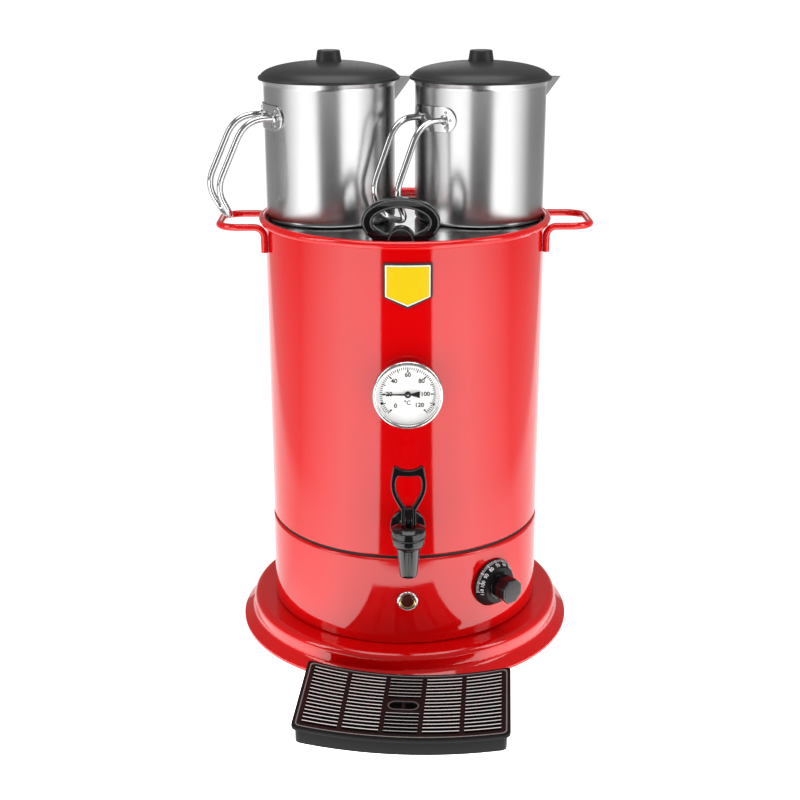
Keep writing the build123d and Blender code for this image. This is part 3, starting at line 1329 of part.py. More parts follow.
def tray_grille():
    high = GRILLE_Z + GRILLE_THICKNESS
    grille = Pos(0, 0, GRILLE_Z) * extrude(tray_outline(0, TRAY_CORNER_R), GRILLE_THICKNESS)
    cutter = extrude(Sketch(children=slot_field()), GRILLE_THICKNESS + 2 * CUT)
    grille -= Pos(0, 0, GRILLE_Z - CUT) * cutter
    key_inset = PAN_INSET + PAN_WALL + GRILLE_KEY_GAP
    key_corner = TRAY_CORNER_R - PAN_INSET / 2 - PAN_WALL - GRILLE_KEY_GAP / 2
    key = tray_outline(key_inset, key_corner)
    key -= tray_outline(key_inset + GRILLE_KEY_WALL, key_corner - GRILLE_KEY_WALL / 2)
    grille += Pos(0, 0, GRILLE_Z - GRILLE_KEY_DEPTH) * extrude(key, GRILLE_KEY_DEPTH)
    rim_width, rim_depth = FINGER_WIDTH + 2 * FINGER_RIM, FINGER_DEPTH + 2 * FINGER_RIM
    boss = SlotOverall(rim_width, rim_depth)
    grille += Pos(0, 0, GRILLE_Z) * extrude(boss, GRILLE_THICKNESS + FINGER_RIM_PROUD)
    opening = SlotOverall(FINGER_WIDTH, FINGER_DEPTH) - Rectangle(FINGER_BAR, FINGER_DEPTH)
    grille -= Pos(0, 0, GRILLE_Z - CUT) * extrude(opening, high + CUT)
    return tray_place() * grille


# ---- every sub-part by name

PARTS = {
    "base_plinth": base_plinth,
    "bottom_cover": bottom_cover,
    "rubber_feet": rubber_feet,
    "base_screws": base_screws,
    "lower_housing": lower_housing,
    "seam_ring": seam_ring,
    "outer_shell": outer_shell,
    "water_tank": water_tank,
    "tank_nuts": tank_nuts,
    "heating_element": heating_element,
    "element_seals": element_seals,
    "element_nuts": element_nuts,
    "thermostat_body": thermostat_body,
    "thermostat_shaft": thermostat_shaft,
    "thermostat_screws": thermostat_screws,
    "thermostat_capillary": thermostat_capillary,
    "knob_skirt": knob_skirt,
    "knob_grip": knob_grip,
    "lamp_bezel": lamp_bezel,
    "lamp_lens": lamp_lens,
    "dry_boil_cutout": dry_boil_cutout,
    "terminal_block": terminal_block,
    "cord_bush": cord_bush,
    "wire_live": wire_live,
    "wire_switched": wire_switched,
    "wire_neutral": wire_neutral,
    "thermometer_case": thermometer_case,
    "thermometer_bezel": thermometer_bezel,
    "dial_face": dial_face,
    "dial_glass": dial_glass,
    "thermometer_pointer": thermometer_pointer,
    "thermometer_stem": thermometer_stem,
    "thermometer_nut": thermometer_nut,
    "tap_body": tap_body,
    "tap_gaskets": tap_gaskets,
    "tap_nut": tap_nut,
    "tap_bonnet": tap_bonnet,
    "tap_stem": tap_stem,
    "tap_seat": tap_seat,
    "tap_spring": tap_spring,
    "tap_lever": tap_lever,
    "lever_pin": lever_pin,
    "badge_plate": badge_plate,
    "lid_deck": lid_deck,
    "lid_handle": lid_handle,
    "lid_handle_screws": lid_handle_screws,
    "tray_pan": tray_pan,
    "tray_grille": tray_grille,
}
for word, side in (("left", LEFT), ("right", RIGHT)):
    PARTS[f"side_handle_{word}"] = lambda side=side: side_handle(side)
    PARTS[f"pot_{word}_body"] = lambda side=side: pot_body(side)
    PARTS[f"pot_{word}_spout"] = lambda side=side: pot_spout(side)
    PARTS[f"pot_{word}_handle"] = lambda side=side: pot_handle(side)
    PARTS[f"pot_{word}_lid"] = lambda side=side: pot_lid(side)
    PARTS[f"pot_{word}_knob"] = lambda side=side: pot_knob(side)

os.makedirs("parts", exist_ok=True)
for name, make in PARTS.items():
    export_step(make(), f"parts/{name}.step")
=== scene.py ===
"""Looks of a hot water urn with two serving pots, a ring-lever tap, a dial thermometer and a drip tray.

Metres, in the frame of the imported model: +Z up, the front with the tap faces -Y, and azimuths are
counted from the front towards +X.
"""

import json
import math

import bpy
from mathutils import Matrix, Vector


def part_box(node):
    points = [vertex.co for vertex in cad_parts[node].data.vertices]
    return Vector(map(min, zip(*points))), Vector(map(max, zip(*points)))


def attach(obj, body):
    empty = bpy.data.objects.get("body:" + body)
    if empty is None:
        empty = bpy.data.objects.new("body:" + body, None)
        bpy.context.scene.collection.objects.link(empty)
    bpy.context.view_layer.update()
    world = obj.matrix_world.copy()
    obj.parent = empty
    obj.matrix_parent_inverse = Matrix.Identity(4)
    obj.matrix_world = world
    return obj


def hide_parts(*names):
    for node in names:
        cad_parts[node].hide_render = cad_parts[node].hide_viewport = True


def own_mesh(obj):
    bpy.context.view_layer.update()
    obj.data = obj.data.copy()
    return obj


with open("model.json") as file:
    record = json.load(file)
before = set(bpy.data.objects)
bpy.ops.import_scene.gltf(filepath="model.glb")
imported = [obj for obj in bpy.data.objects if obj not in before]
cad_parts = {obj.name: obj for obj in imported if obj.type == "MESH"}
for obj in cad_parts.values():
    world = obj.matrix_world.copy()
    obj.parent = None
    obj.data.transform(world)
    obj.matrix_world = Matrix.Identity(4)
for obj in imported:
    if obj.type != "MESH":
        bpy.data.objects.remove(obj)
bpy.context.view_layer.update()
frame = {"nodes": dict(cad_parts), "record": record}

MM = 0.001
SIDE_GLOW = 3.0         # light that the table gives off beside the front
BACK_GLOW = 0.9         # and behind the urn
WING_GLOW = 0.3         # and far out to the sides
ROOM_GLOW = 0.3         # and that comes from all round
FLOOR_SIZE = 60         # metres
BACK_START = 48         # degrees from the front to where the light starts to fall off
BACK_END = 92           # and to where it has fallen off
LANE_HALF = 19.0        # degrees from the front to the edge of the dark lane
LANE_EDGE = 1.5         # degrees over which the lane fades out
LANE_START = 0.368      # metres from the axis to where the lane starts
LANE_START_EDGE = 0.02  # metres over which it fades in there
LANE_END = 8.0          # metres from the axis to where it ends
LANE_END_EDGE = 0.1     # metres over which it fades out there
TABLE_SHADE = (0.5, 0.5, 0.5)
LANE_SHADE = (0.01, 0.01, 0.01)
WING_START = 0.5        # metres from the middle to where the dim wings start beside the axis
WING_END = 8.0          # and to where they end
WING_EDGE = 0.12        # metres over which a wing fades in and out
WING_SPREAD = 0.3       # metres that the wings draw apart for each metre behind the axis
WING_REACH = 40         # metres before and behind the axis for which they do

# ---- heights read from the frame, in millimetres
RIM_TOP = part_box("outer_shell")[1].z * 1000
LID_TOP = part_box("lid_deck")[1].z * 1000
POT_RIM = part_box("pot_left_body")[1].z * 1000


# ---- camera, floor and light

def add_camera():
    """Looks down at the urn from the front with the frame of a square picture."""
    data = bpy.data.cameras.new("camera")
    data.lens = 63.09
    data.sensor_width = 36.0
    data.shift_x = -0.0061
    camera = bpy.data.objects.new("camera", data)
    camera.location = (-0.0268, -1.3977, 0.709)
    camera.rotation_euler = (math.radians(71.51), 0, math.radians(-1.1))
    bpy.context.scene.collection.objects.link(camera)
    bpy.context.scene.camera = camera


def add_area_light(name, location, aim, size, power):
    """A soft box that hangs at a place and faces another."""
    data = bpy.data.lights.new(name, "AREA")
    data.shape = "RECTANGLE"
    data.size, data.size_y = size
    data.energy = power
    light = bpy.data.objects.new(name, data)
    light.location = location
    light.rotation_euler = (Vector(aim) - light.location).to_track_quat("-Z", "Y").to_euler()
    bpy.context.scene.collection.objects.link(light)


def add_light():
    """Soft boxes above, at both sides and behind, in a dim white room."""
    add_area_light("top_box", (0, -0.1, 1.9), (0, 0, 0.4), (1.4, 1.2), 22)
    add_area_light("left_box", (-1.5, -0.6, 1.2), (0, 0, 0.45), (0.5, 1.2), 9)
    add_area_light("right_box", (1.5, -0.6, 1.2), (0, 0, 0.45), (0.5, 1.2), 9)
    add_area_light("back_box", (0, 2.4, 1.25), (0, 0, 0.39), (0.5, 0.8), 1.5)
    world = bpy.data.worlds.new("studio")
    world.use_nodes = True
    world.node_tree.nodes["Background"].inputs["Color"].default_value = (1, 1, 1, 1)
    world.node_tree.nodes["Background"].inputs["Strength"].default_value = ROOM_GLOW
    bpy.context.scene.world = world
    bpy.context.scene.view_settings.view_transform = "Standard"


def map_range(material, source, start, end, low, high):
    """A value that goes from low to high while the source goes from start to end."""
    span = material.node_tree.nodes.new("ShaderNodeMapRange")
    for socket, value in zip(("From Min", "From Max", "To Min", "To Max"), (start, end, low, high)):
        span.inputs[socket].default_value = value
    material.node_tree.links.new(source, span.inputs["Value"])
    return span.outputs["Result"]


def math_node(material, operation, first, second=None):
    """One step of arithmetic on one or two values."""
    node = material.node_tree.nodes.new("ShaderNodeMath")
    node.operation = operation
    material.node_tree.links.new(first, node.inputs[0])
    if second is not None:
        material.node_tree.links.new(second, node.inputs[1])
    return node.outputs[0]


def add_floor():
    """A white table that glows beside the front, with a dark lane before the urn and dim wings far out."""
    deselect()
    bpy.ops.mesh.primitive_plane_add(size=FLOOR_SIZE, location=(0, 0, 0))
    floor = bpy.context.object
    floor.name = "floor"
    material, shader = new_finish("floor_white", TABLE_SHADE, roughness=0.8)
    nodes, links = material.node_tree.nodes, material.node_tree.links
    coordinates = nodes.new("ShaderNodeTexCoord")
    parts = nodes.new("ShaderNodeSeparateXYZ")
    links.new(coordinates.outputs["Object"], parts.inputs["Vector"])
    back = math_node(material, "MULTIPLY", parts.outputs["Y"])
    back.node.inputs[1].default_value = -1.0
    azimuth = math_node(material, "ABSOLUTE", math_node(material, "ARCTAN2", parts.outputs["X"], back))
    out = math_node(material, "ABSOLUTE", parts.outputs["X"])
    apart = WING_REACH * WING_SPREAD
    spread = map_range(material, parts.outputs["Y"], -WING_REACH, WING_REACH, apart, -apart)
    spread = math_node(material, "ADD", out, spread)
    inside = map_range(material, spread, WING_START, WING_START + WING_EDGE, BACK_GLOW, WING_GLOW)
    outside = map_range(material, spread, WING_END, WING_END + WING_EDGE, WING_GLOW, BACK_GLOW)
    wing = math_node(material, "MAXIMUM", inside, outside)
    turned_back = map_range(material, azimuth, math.radians(BACK_START), math.radians(BACK_END), 0, 1)
    blend = nodes.new("ShaderNodeMix")
    blend.inputs["A"].default_value = SIDE_GLOW
    links.new(turned_back, blend.inputs["Factor"])
    links.new(wing, blend.inputs["B"])
    glow = blend.outputs["Result"]
    lane_edges = math.radians(LANE_HALF), math.radians(LANE_HALF + LANE_EDGE)
    beside_lane = map_range(material, azimuth, *lane_edges, 0, 1)
    near_urn = map_range(material, back, LANE_START, LANE_START + LANE_START_EDGE, 1, 0)
    far_off = map_range(material, back, LANE_END, LANE_END + LANE_END_EDGE, 0, 1)
    lit = math_node(material, "MAXIMUM", beside_lane, near_urn)
    lit = math_node(material, "MAXIMUM", lit, far_off)
    links.new(math_node(material, "MULTIPLY", glow, lit), shader.inputs["Emission Strength"])
    shader.inputs["Emission Color"].default_value = (1, 1, 1, 1)
    shade = nodes.new("ShaderNodeMix")
    shade.data_type = "RGBA"
    shade.inputs["A"].default_value = (*LANE_SHADE, 1)
    shade.inputs["B"].default_value = (*TABLE_SHADE, 1)
    links.new(lit, shade.inputs["Factor"])
    links.new(shade.outputs["Result"], shader.inputs["Base Color"])
    floor.data.materials.append(material)


# ---- finishes

NOISE_LOW, NOISE_HIGH = 0.3, 0.7        # most of a noise pattern lies between these values


def new_finish(name, color, roughness=0.5, metallic=0.0, **sockets):
    """A material with its shader, to which the grain of each finish is added."""
    material = bpy.data.materials.new(name)
    material.use_nodes = True
    shader = material.node_tree.nodes["Principled BSDF"]
    shader.inputs["Base Color"].default_value = (*color, 1)
    shader.inputs["Roughness"].default_value = roughness
    shader.inputs["Metallic"].default_value = metallic
    for socket, value in sockets.items():
        shader.inputs[socket.replace("_", " ")].default_value = value
    return material, shader


def add_pattern(material, scale, stretch=(1, 1, 1), detail=4.0):
    """Noise on the object's own coordinates; returns its output."""
    nodes, links = material.node_tree.nodes, material.node_tree.links
    coordinates = nodes.new("ShaderNodeTexCoord")
    mapping = nodes.new("ShaderNodeMapping")
    mapping.inputs["Scale"].default_value = stretch
    noise = nodes.new("ShaderNodeTexNoise")
    noise.inputs["Scale"].default_value = scale
    noise.inputs["Detail"].default_value = detail
    links.new(coordinates.outputs["Object"], mapping.inputs["Vector"])
    links.new(mapping.outputs["Vector"], noise.inputs["Vector"])
    return noise.outputs["Fac"]


def add_bump(material, shader, source, height):
    """Grain that catches the light; height is its depth in metres."""
    nodes, links = material.node_tree.nodes, material.node_tree.links
    bump = nodes.new("ShaderNodeBump")
    bump.inputs["Distance"].default_value = height
    bump.inputs["Strength"].default_value = 1.0
    links.new(source, bump.inputs["Height"])
    links.new(bump.outputs["Normal"], shader.inputs["Normal"])


def add_range(material, source, low, high, target):
    """Sends a pattern to a socket, as a value between low and high."""
    material.node_tree.links.new(map_range(material, source, NOISE_LOW, NOISE_HIGH, low, high), target)


def add_shades(material, shader, source, dark, light):
    """Varies the base colour between two shades."""
    nodes, links = material.node_tree.nodes, material.node_tree.links
    ramp = nodes.new("ShaderNodeValToRGB")
    ramp.color_ramp.elements[0].position = NOISE_LOW
    ramp.color_ramp.elements[1].position = NOISE_HIGH
    ramp.color_ramp.elements[0].color = (*dark, 1)
    ramp.color_ramp.elements[1].color = (*light, 1)
    links.new(source, ramp.inputs["Fac"])
    links.new(ramp.outputs["Color"], shader.inputs["Base Color"])


def enamel_finish():
    """Baked enamel: deep gloss with a faint orange peel."""
    material, shader = new_finish("red_enamel", (0.6, 0.0, 0.001), 0.07)
    peel = add_pattern(material, 260, detail=1.0)
    add_bump(material, shader, peel, 0.00002)
    tone = add_pattern(material, 9, detail=3.0)
    add_shades(material, shader, tone, (0.57, 0.0, 0.0004), (0.61, 0.0004, 0.0015))
    return material


def brushed_finish(name, color, roughness, lines=(3, 3, 2200), depth=0.000002, spread=0.17):
    """Steel with fine lines round the piece; spread is how far its roughness varies, as a share."""
    material, shader = new_finish(name, color, roughness, 1.0)
    brush = add_pattern(material, 1.0, lines, 6.0)
    add_bump(material, shader, brush, depth)
    add_range(material, brush, roughness * (1 - spread), roughness * (1 + spread), shader.inputs["Roughness"])
    cloud = add_pattern(material, 14, detail=3.0)
    dark = tuple(0.93 * part for part in color)
    add_shades(material, shader, cloud, dark, color)
    return material


def moulded_finish(name, color, roughness, grain=900, depth=0.000012, coat=0.0, level=0.5, glow=0.0):
    """Moulded plastic with a fine skin; glow makes it give off its own colour, which paints light on a part
    that is no lamp.
    """
    material, shader = new_finish(name, color, roughness, Specular_IOR_Level=level, Emission_Strength=glow)
    shader.inputs["Emission Color"].default_value = (*color, 1)
    shader.inputs["Coat Weight"].default_value = coat
    shader.inputs["Coat Roughness"].default_value = 0.05
    skin = add_pattern(material, grain, detail=2.0)
    add_bump(material, shader, skin, depth)
    add_range(material, skin, roughness * 0.85, roughness * 1.15, shader.inputs["Roughness"])
    return material


def plain_metal_finish(name, color, roughness):
    """Bare or plated metal with a little wear."""
    material, shader = new_finish(name, color, roughness, 1.0)
    wear = add_pattern(material, 320, detail=5.0)
    add_range(material, wear, roughness * 0.8, roughness * 1.3, shader.inputs["Roughness"])
    add_bump(material, shader, wear, 0.000008)
    return material


def glass_finish():
    """Clear glass with a faint smear."""
    material, shader = new_finish("dial_glass", (0.02, 0.02, 0.02), 0.02)
    shader.inputs["Alpha"].default_value = 0.06
    smear = add_pattern(material, 40, detail=2.0)
    add_range(material, smear, 0.01, 0.03, shader.inputs["Roughness"])
    return material


FINISHES = {
    "red_enamel": enamel_finish(),
    "pot_steel": brushed_finish("pot_steel", (0.4, 0.4, 0.4), 0.25, depth=0.0000006, spread=0.05),
    "rod_steel": plain_metal_finish("rod_steel", (0.5, 0.5, 0.5), 0.14),
    "tank_steel": brushed_finish("tank_steel", (0.66, 0.66, 0.65), 0.3),
    "deck_steel": brushed_finish("deck_steel", (0.5, 0.5, 0.5), 0.14, (40, 40, 40)),
    "lid_black": moulded_finish("lid_black", (0.016, 0.016, 0.017), 0.42, 700, level=0.3),
    "black_gloss": moulded_finish("black_gloss", (0.005, 0.005, 0.006), 0.14, 300, 0.000003, level=0.4),
    "black_trim": moulded_finish("black_trim", (0.006, 0.005, 0.005), 0.4, 1100, level=0.15),
    "rubber": moulded_finish("rubber", (0.02, 0.02, 0.02), 0.75, 1500),
    "silicone": moulded_finish("silicone", (0.6, 0.16, 0.08), 0.5, 900),
    "zinc": plain_metal_finish("zinc", (0.6, 0.6, 0.6), 0.3),
    "brass": plain_metal_finish("brass", (0.72, 0.5, 0.2), 0.25),
    "spring_steel": plain_metal_finish("spring_steel", (0.64, 0.64, 0.64), 0.2),
    "copper": plain_metal_finish("copper", (0.72, 0.36, 0.22), 0.25),
    "phenolic": moulded_finish("phenolic", (0.05, 0.04, 0.035), 0.45, 600),
    "terminal_white": moulded_finish("terminal_white", (0.75, 0.75, 0.7), 0.45, 600),
    "wire_brown": moulded_finish("wire_brown", (0.14, 0.05, 0.02), 0.4, 800),
    "wire_black": moulded_finish("wire_black", (0.02, 0.02, 0.02), 0.4, 800),
    "wire_blue": moulded_finish("wire_blue", (0.03, 0.09, 0.4), 0.4, 800),
    "bright_chrome": plain_metal_finish("bright_chrome", (0.6, 0.59, 0.57), 0.16),
    "lamp_amber": moulded_finish("lamp_amber", (0.05, 0.006, 0.002), 0.12, 300, 0.000004, 0.3),
    # The dial face glows at 0.28 as painted light, to look brighter than its lighting makes it.
    "dial_white": moulded_finish("dial_white", (0.95, 0.95, 0.93), 0.45, 600, 0.000003, glow=0.28),
    "pointer_black": moulded_finish("pointer_black", (0.01, 0.01, 0.01), 0.4, 600, 0.000003),
    "dial_glass": glass_finish(),
    "plate_yellow": moulded_finish("plate_yellow", (0.72, 0.5, 0.0), 0.35, 400, 0.000002, level=0.3),
    "print_black": moulded_finish("print_black", (0.008, 0.008, 0.008), 0.5, 600, 0.000002),
    "print_white": moulded_finish("print_white", (0.8, 0.8, 0.8), 0.5, 600, 0.000002),
    "grip_grey": moulded_finish("grip_grey", (0.02, 0.018, 0.018), 0.4, 900, level=0.3),
    "tray_black": moulded_finish("tray_black", (0.007, 0.007, 0.007), 0.45, 900, 0.000004, level=0.1),
    # Lighter grey that paints highlights on the edges of the bow's channel and round the finger holes.
    "painted_edge_highlight": moulded_finish("painted_edge_highlight", (0.09, 0.09, 0.09), 0.3, 900, 0.000004),
    # Mid grey that paints a highlight on the tray's rim.
    "painted_rim_highlight": moulded_finish("painted_rim_highlight", (0.2, 0.2, 0.2), 0.3, 900, 0.000004),
    # Near white that paints highlights on the slat edges of the grille.
    "tray_edge": moulded_finish("tray_edge", (0.88, 0.88, 0.88), 0.3, 900, 0.000004),
}


def dress_nodes():
    """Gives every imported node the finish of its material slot."""
    slots = {part["node"]: part["material_slot"] for part in frame["record"]["subparts"]}
    for name, node in frame["nodes"].items():
        node.data.materials.clear()
        node.data.materials.append(FINISHES[slots[name]])


# ---- modelling steps, with sizes in millimetres

AXIS_R = 0.001          # radius that stands for a point on the axis
PRINT = 0.06            # thickness of ink


def deselect():
    """Leaves nothing selected, in object mode."""
    if bpy.context.mode != "OBJECT":
        bpy.ops.object.mode_set(mode="OBJECT")
    bpy.ops.object.select_all(action="DESELECT")


def alone(piece):
    """Selects a piece and nothing else."""
    deselect()
    piece.select_set(True)
    bpy.context.view_layer.objects.active = piece


def local(x=0.0, y=0.0, z=0.0):
    """A shift."""
    return Matrix.Translation((x * MM, y * MM, z * MM))


def rotated(degrees, axis="Z"):
    """A turn about an axis."""
    return Matrix.Rotation(math.radians(degrees), 4, axis)


def facing(azimuth, reach, height):
    """A place on the urn with Z outward, Y up and X to the right."""
    turn = math.radians(azimuth)
    out = Vector((math.sin(turn), -math.cos(turn), 0))
    spot = Matrix.Identity(4)
    spot.col[0] = (math.cos(turn), math.sin(turn), 0, 0)
    spot.col[1] = (0, 0, 1, 0)
    spot.col[2] = (*out, 0)
    spot.translation = out * reach * MM + Vector((0, 0, height * MM))
    return spot


def place(piece, matrix):
    """Puts a piece where the matrix says and leaves that place in its mesh."""
    alone(piece)
    piece.matrix_world = matrix @ piece.matrix_world
    bpy.ops.object.transform_apply(location=True, rotation=True, scale=True)
    return piece


def closed(piece):
    """Merges what lies together and turns every face outward."""
    alone(piece)
    bpy.ops.object.mode_set(mode="EDIT")
    bpy.ops.mesh.select_all(action="SELECT")
    bpy.ops.mesh.remove_doubles(threshold=0.000002)
    bpy.ops.mesh.normals_make_consistent(inside=False)
    bpy.ops.object.mode_set(mode="OBJECT")
    return piece


def smooth(piece, angle=35):
    """Shades a piece smooth except where its faces meet at more than the angle."""
    alone(piece)
    bpy.ops.object.shade_smooth_by_angle(angle=math.radians(angle))
    return piece


def turned(name, outline, steps=96):
    """A solid turned about Z from (radius, height) points. A ring's outline ends where it starts."""
    deselect()
    radius, height = max(outline[0][0], AXIS_R), outline[0][1]
    bpy.ops.mesh.primitive_circle_add(vertices=steps, radius=radius * MM, location=(0, 0, 0))
    piece = bpy.context.object
    piece.name = name
    bpy.ops.object.mode_set(mode="EDIT")
    bpy.ops.mesh.select_all(action="SELECT")
    bpy.ops.transform.translate(value=(0, 0, height * MM))
    for next_radius, next_height in outline[1:]:
        next_radius = max(next_radius, AXIS_R)
        rise = (0, 0, (next_height - height) * MM)
        bpy.ops.mesh.extrude_edges_move(TRANSFORM_OT_translate={"value": rise})
        share = next_radius / radius
        bpy.ops.transform.resize(value=(share, share, 1), center_override=(0, 0, next_height * MM))
        radius, height = next_radius, next_height
    return smooth(closed(piece))


def meshed(name, curve):
    """The mesh that a curve describes."""
    piece = bpy.data.objects.new(name, curve)
    bpy.context.scene.collection.objects.link(piece)
    alone(piece)
    bpy.ops.object.convert(target="MESH")
    return bpy.context.object


def prism(name, outlines, low, high, bevel=0.0, segments=2):
    """A plate between two heights, from closed outlines of which the inner ones are holes."""
    curve = bpy.data.curves.new(name, "CURVE")
    curve.dimensions = "2D"
    curve.fill_mode = "BOTH"
    curve.extrude = (high - low) / 2 * MM - bevel * MM
    curve.bevel_depth = bevel * MM
    curve.offset = -bevel * MM
    curve.bevel_resolution = segments
    for outline in outlines:
        spline = curve.splines.new("POLY")
        spline.points.add(len(outline) - 1)
        for point, (x, y) in zip(spline.points, outline):
            point.co = (x * MM, y * MM, 0, 1)
        spline.use_cyclic_u = True
    piece = place(meshed(name, curve), local(z=(low + high) / 2))
    return smooth(closed(piece), 50)


def written(name, words, size, bold=0.008):
    """Raised print, centred on its place; bold is how much its strokes widen, as a share of its size."""
    deselect()
    bpy.ops.object.text_add(location=(0, 0, 0))
    piece = bpy.context.object
    piece.name = name
    piece.data.body = words
    piece.data.size = size * MM
    piece.data.align_x = "CENTER"
    piece.data.align_y = "CENTER"
    piece.data.extrude = PRINT / 2 * MM
    piece.data.offset = bold * size * MM
    bpy.ops.object.convert(target="MESH")
    return closed(place(bpy.context.object, local(z=PRINT / 2)))


def bent_path(points, radii, steps=10):
    """An open path in space whose inner corners are eased."""
    path = [points[0]]
    for before, corner, after, radius in zip(points, points[1:], points[2:], radii):
        first, last = (before - corner).normalized(), (after - corner).normalized()
        reach = radius / math.tan(first.angle(last) / 2)
        for step in range(steps + 1):
            share = step / steps
            path.append(corner + (1 - share) ** 2 * reach * first + share**2 * reach * last)
    return path + [points[-1]]


def rod(name, path, radius):
    """A round rod along a path."""
    curve = bpy.data.curves.new(name, "CURVE")
    curve.dimensions = "3D"
    curve.bevel_depth = radius * MM
    curve.bevel_resolution = 6
    curve.use_fill_caps = True
    spline = curve.splines.new("POLY")
    spline.points.add(len(path) - 1)
    for point, spot in zip(spline.points, path):
        point.co = (*(spot * MM), 1)
    return smooth(closed(meshed(name, curve)), 50)


def joined(name, pieces):
    """Makes one piece of several."""
    deselect()
    for piece in pieces:
        piece.select_set(True)
    bpy.context.view_layer.objects.active = pieces[0]
    bpy.ops.object.join()
    pieces[0].name = name
    return pieces[0]


def finished(piece, finish, body, *nodes):
    """Gives a piece its finish and its body, and hides the nodes that it stands for."""
    piece.data.materials.clear()
    piece.data.materials.append(FINISHES[finish])
    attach(piece, body)
    if nodes:
        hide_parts(*nodes)
    return piece


def arc(centre_x, centre_y, radius, start, end, steps):
    """Points on an arc, with its angles in degrees from X."""
    turns = [math.radians(start + (end - start) * step / steps) for step in range(steps + 1)]
    return [(centre_x + radius * math.cos(turn), centre_y + radius * math.sin(turn)) for turn in turns]


def oval(width, height, start, end, steps, middle=0.0):
    """Points on an arc that is stretched to two radii, about a middle on the Y axis."""
    points = arc(0, middle, 1, start, end, steps)
    return [(width * x, middle + height * (y - middle)) for x, y in points]


def mirrored(right):
    """A closed outline from its right half, listed from below upwards."""
    return right + [(-x, y) for x, y in reversed(right) if x > 0.0005]


def rounded(points, radii, steps=6):
    """Replaces each corner of a closed outline by a bend that touches both of its sides."""
    outline = []
    for index, (x, y) in enumerate(points):
        corner, radius = Vector((x, y)), radii[index]
        before = Vector(points[index - 1]) - corner
        after = Vector(points[(index + 1) % len(points)]) - corner
        half = before.angle(after) / 2
        if radius == 0 or half > math.radians(89.5):
            outline.append((x, y))
            continue
        reach = min(radius / math.tan(half), 0.49 * before.length, 0.49 * after.length)
        first, last = corner + before.normalized() * reach, corner + after.normalized() * reach
        for step in range(steps + 1):
            share = step / steps
            spot = (1 - share) ** 2 * first + 2 * share * (1 - share) * corner + share**2 * last
            outline.append((spot.x, spot.y))
    return outline


# ---- thermometer

DIAL_Z = 296.0
DIAL_FRONT = 145.8      # axis of the urn to the printed face
POINTER_FRONT = 147.2   # and to the pointer
CASE_FRONT = 152.0      # and to the crest of the bezel
DIAL_SPAN = 270.0       # degrees from 0 to 120 on the scale
DIAL_START = 225.0      # degrees from X to 0
DIAL_TOP = 120
TICK_END = 26.5
DIAL_LETTER = 5.9
NUMBER_R = {0: 16.4, 20: 17.6, 40: 18.2, 60: 19.0, 80: 18.2, 100: 16.4, 120: 15.4}
WEDGE_TURNS = (200.5, -22.5)


def dial_turn(value):
    """Degrees from X to a value on the scale, which starts at the lower left."""
    return DIAL_START - DIAL_SPAN * value / DIAL_TOP


def spoke(turn, inner, outer, width, inner_width=None):
    """A tick that points to the middle of its scale."""
    inner_half, half = (inner_width or width) / 2, width / 2
    outline = [(inner, -inner_half), (outer, -half), (outer, half), (inner, inner_half)]
    return place(prism("tick", [outline], 0, PRINT), rotated(turn))


def add_dial():
    """The scale, its numbers and the marks at its lower ends."""
    marks = []
    for value in range(0, DIAL_TOP + 1, 2):
        turn = dial_turn(value)
        if value % 20 == 0:
            marks.append(spoke(turn, 24.0, TICK_END, 0.9))
            marks.append(spoke(turn, 21.6, 24.2, 0.9, 1.7))
        elif value % 10 == 0:
            marks.append(spoke(turn, 22.6, TICK_END, 0.9))
        else:
            marks.append(spoke(turn, 24.2, TICK_END, 0.75))
    for value, radius in NUMBER_R.items():
        turn = math.radians(dial_turn(value))
        number = written("number", str(value), DIAL_LETTER, bold=0.03)
        marks.append(place(number, local(radius * math.cos(turn), radius * math.sin(turn))))
    marks.append(place(written("unit", "\u00b0C", DIAL_LETTER, bold=0.02), local(-0.4, -8.6)))
    for turn in WEDGE_TURNS:
        wedge = prism("wedge", [[(24.2, 0), (27.4, -1.5), (27.4, 1.5)]], 0, PRINT)
        marks.append(place(wedge, rotated(turn)))
    for start, end in ((206, 222), (-42, -28)):
        line = arc(0, 0, 27.5, start, end, 10) + arc(0, 0, 27.9, end, start, 10)
        marks.append(prism("line", [line], 0, PRINT))
    dial = joined("dial_print", marks)
    place(dial, facing(0, DIAL_FRONT + 0.01, DIAL_Z))
    finished(dial, "print_black", "urn_body")


def add_bezel():
    """The rolled ring round the glass, and the cap and pin of the pointer."""
    outline = [(31.75, -5.5), (33.3, -5.5), (33.5, -5.2), (33.5, -2.4), (33.3, -1.5), (32.8, -0.7)]
    outline += [(32.0, -0.2), (31.2, 0), (30.5, -0.15), (29.9, -0.55), (29.6, -1.2), (31.75, -1.25)]
    outline += [(31.75, -5.5)]
    ring = place(turned("bezel_ring", outline, 128), facing(0, CASE_FRONT, DIAL_Z))
    finished(ring, "bright_chrome", "urn_body", "thermometer_bezel")
    cap = [(0, 0.62), (2.9, 0.62), (3.1, 0.8), (2.9, 1.3), (1.6, 1.8), (0.6, 1.9), (0, 1.9)]
    cap = place(turned("pointer_cap", cap, 48), facing(0, POINTER_FRONT, DIAL_Z))
    finished(cap, "pointer_black", "thermometer_needle")
    pin = [(0, 1.85), (0.8, 1.85), (0.8, 2.1), (0.5, 2.25), (0, 2.25)]
    pin = place(turned("pointer_pin", pin, 24), facing(0, POINTER_FRONT, DIAL_Z))
    finished(pin, "bright_chrome", "thermometer_needle")


# ---- thermostat knob

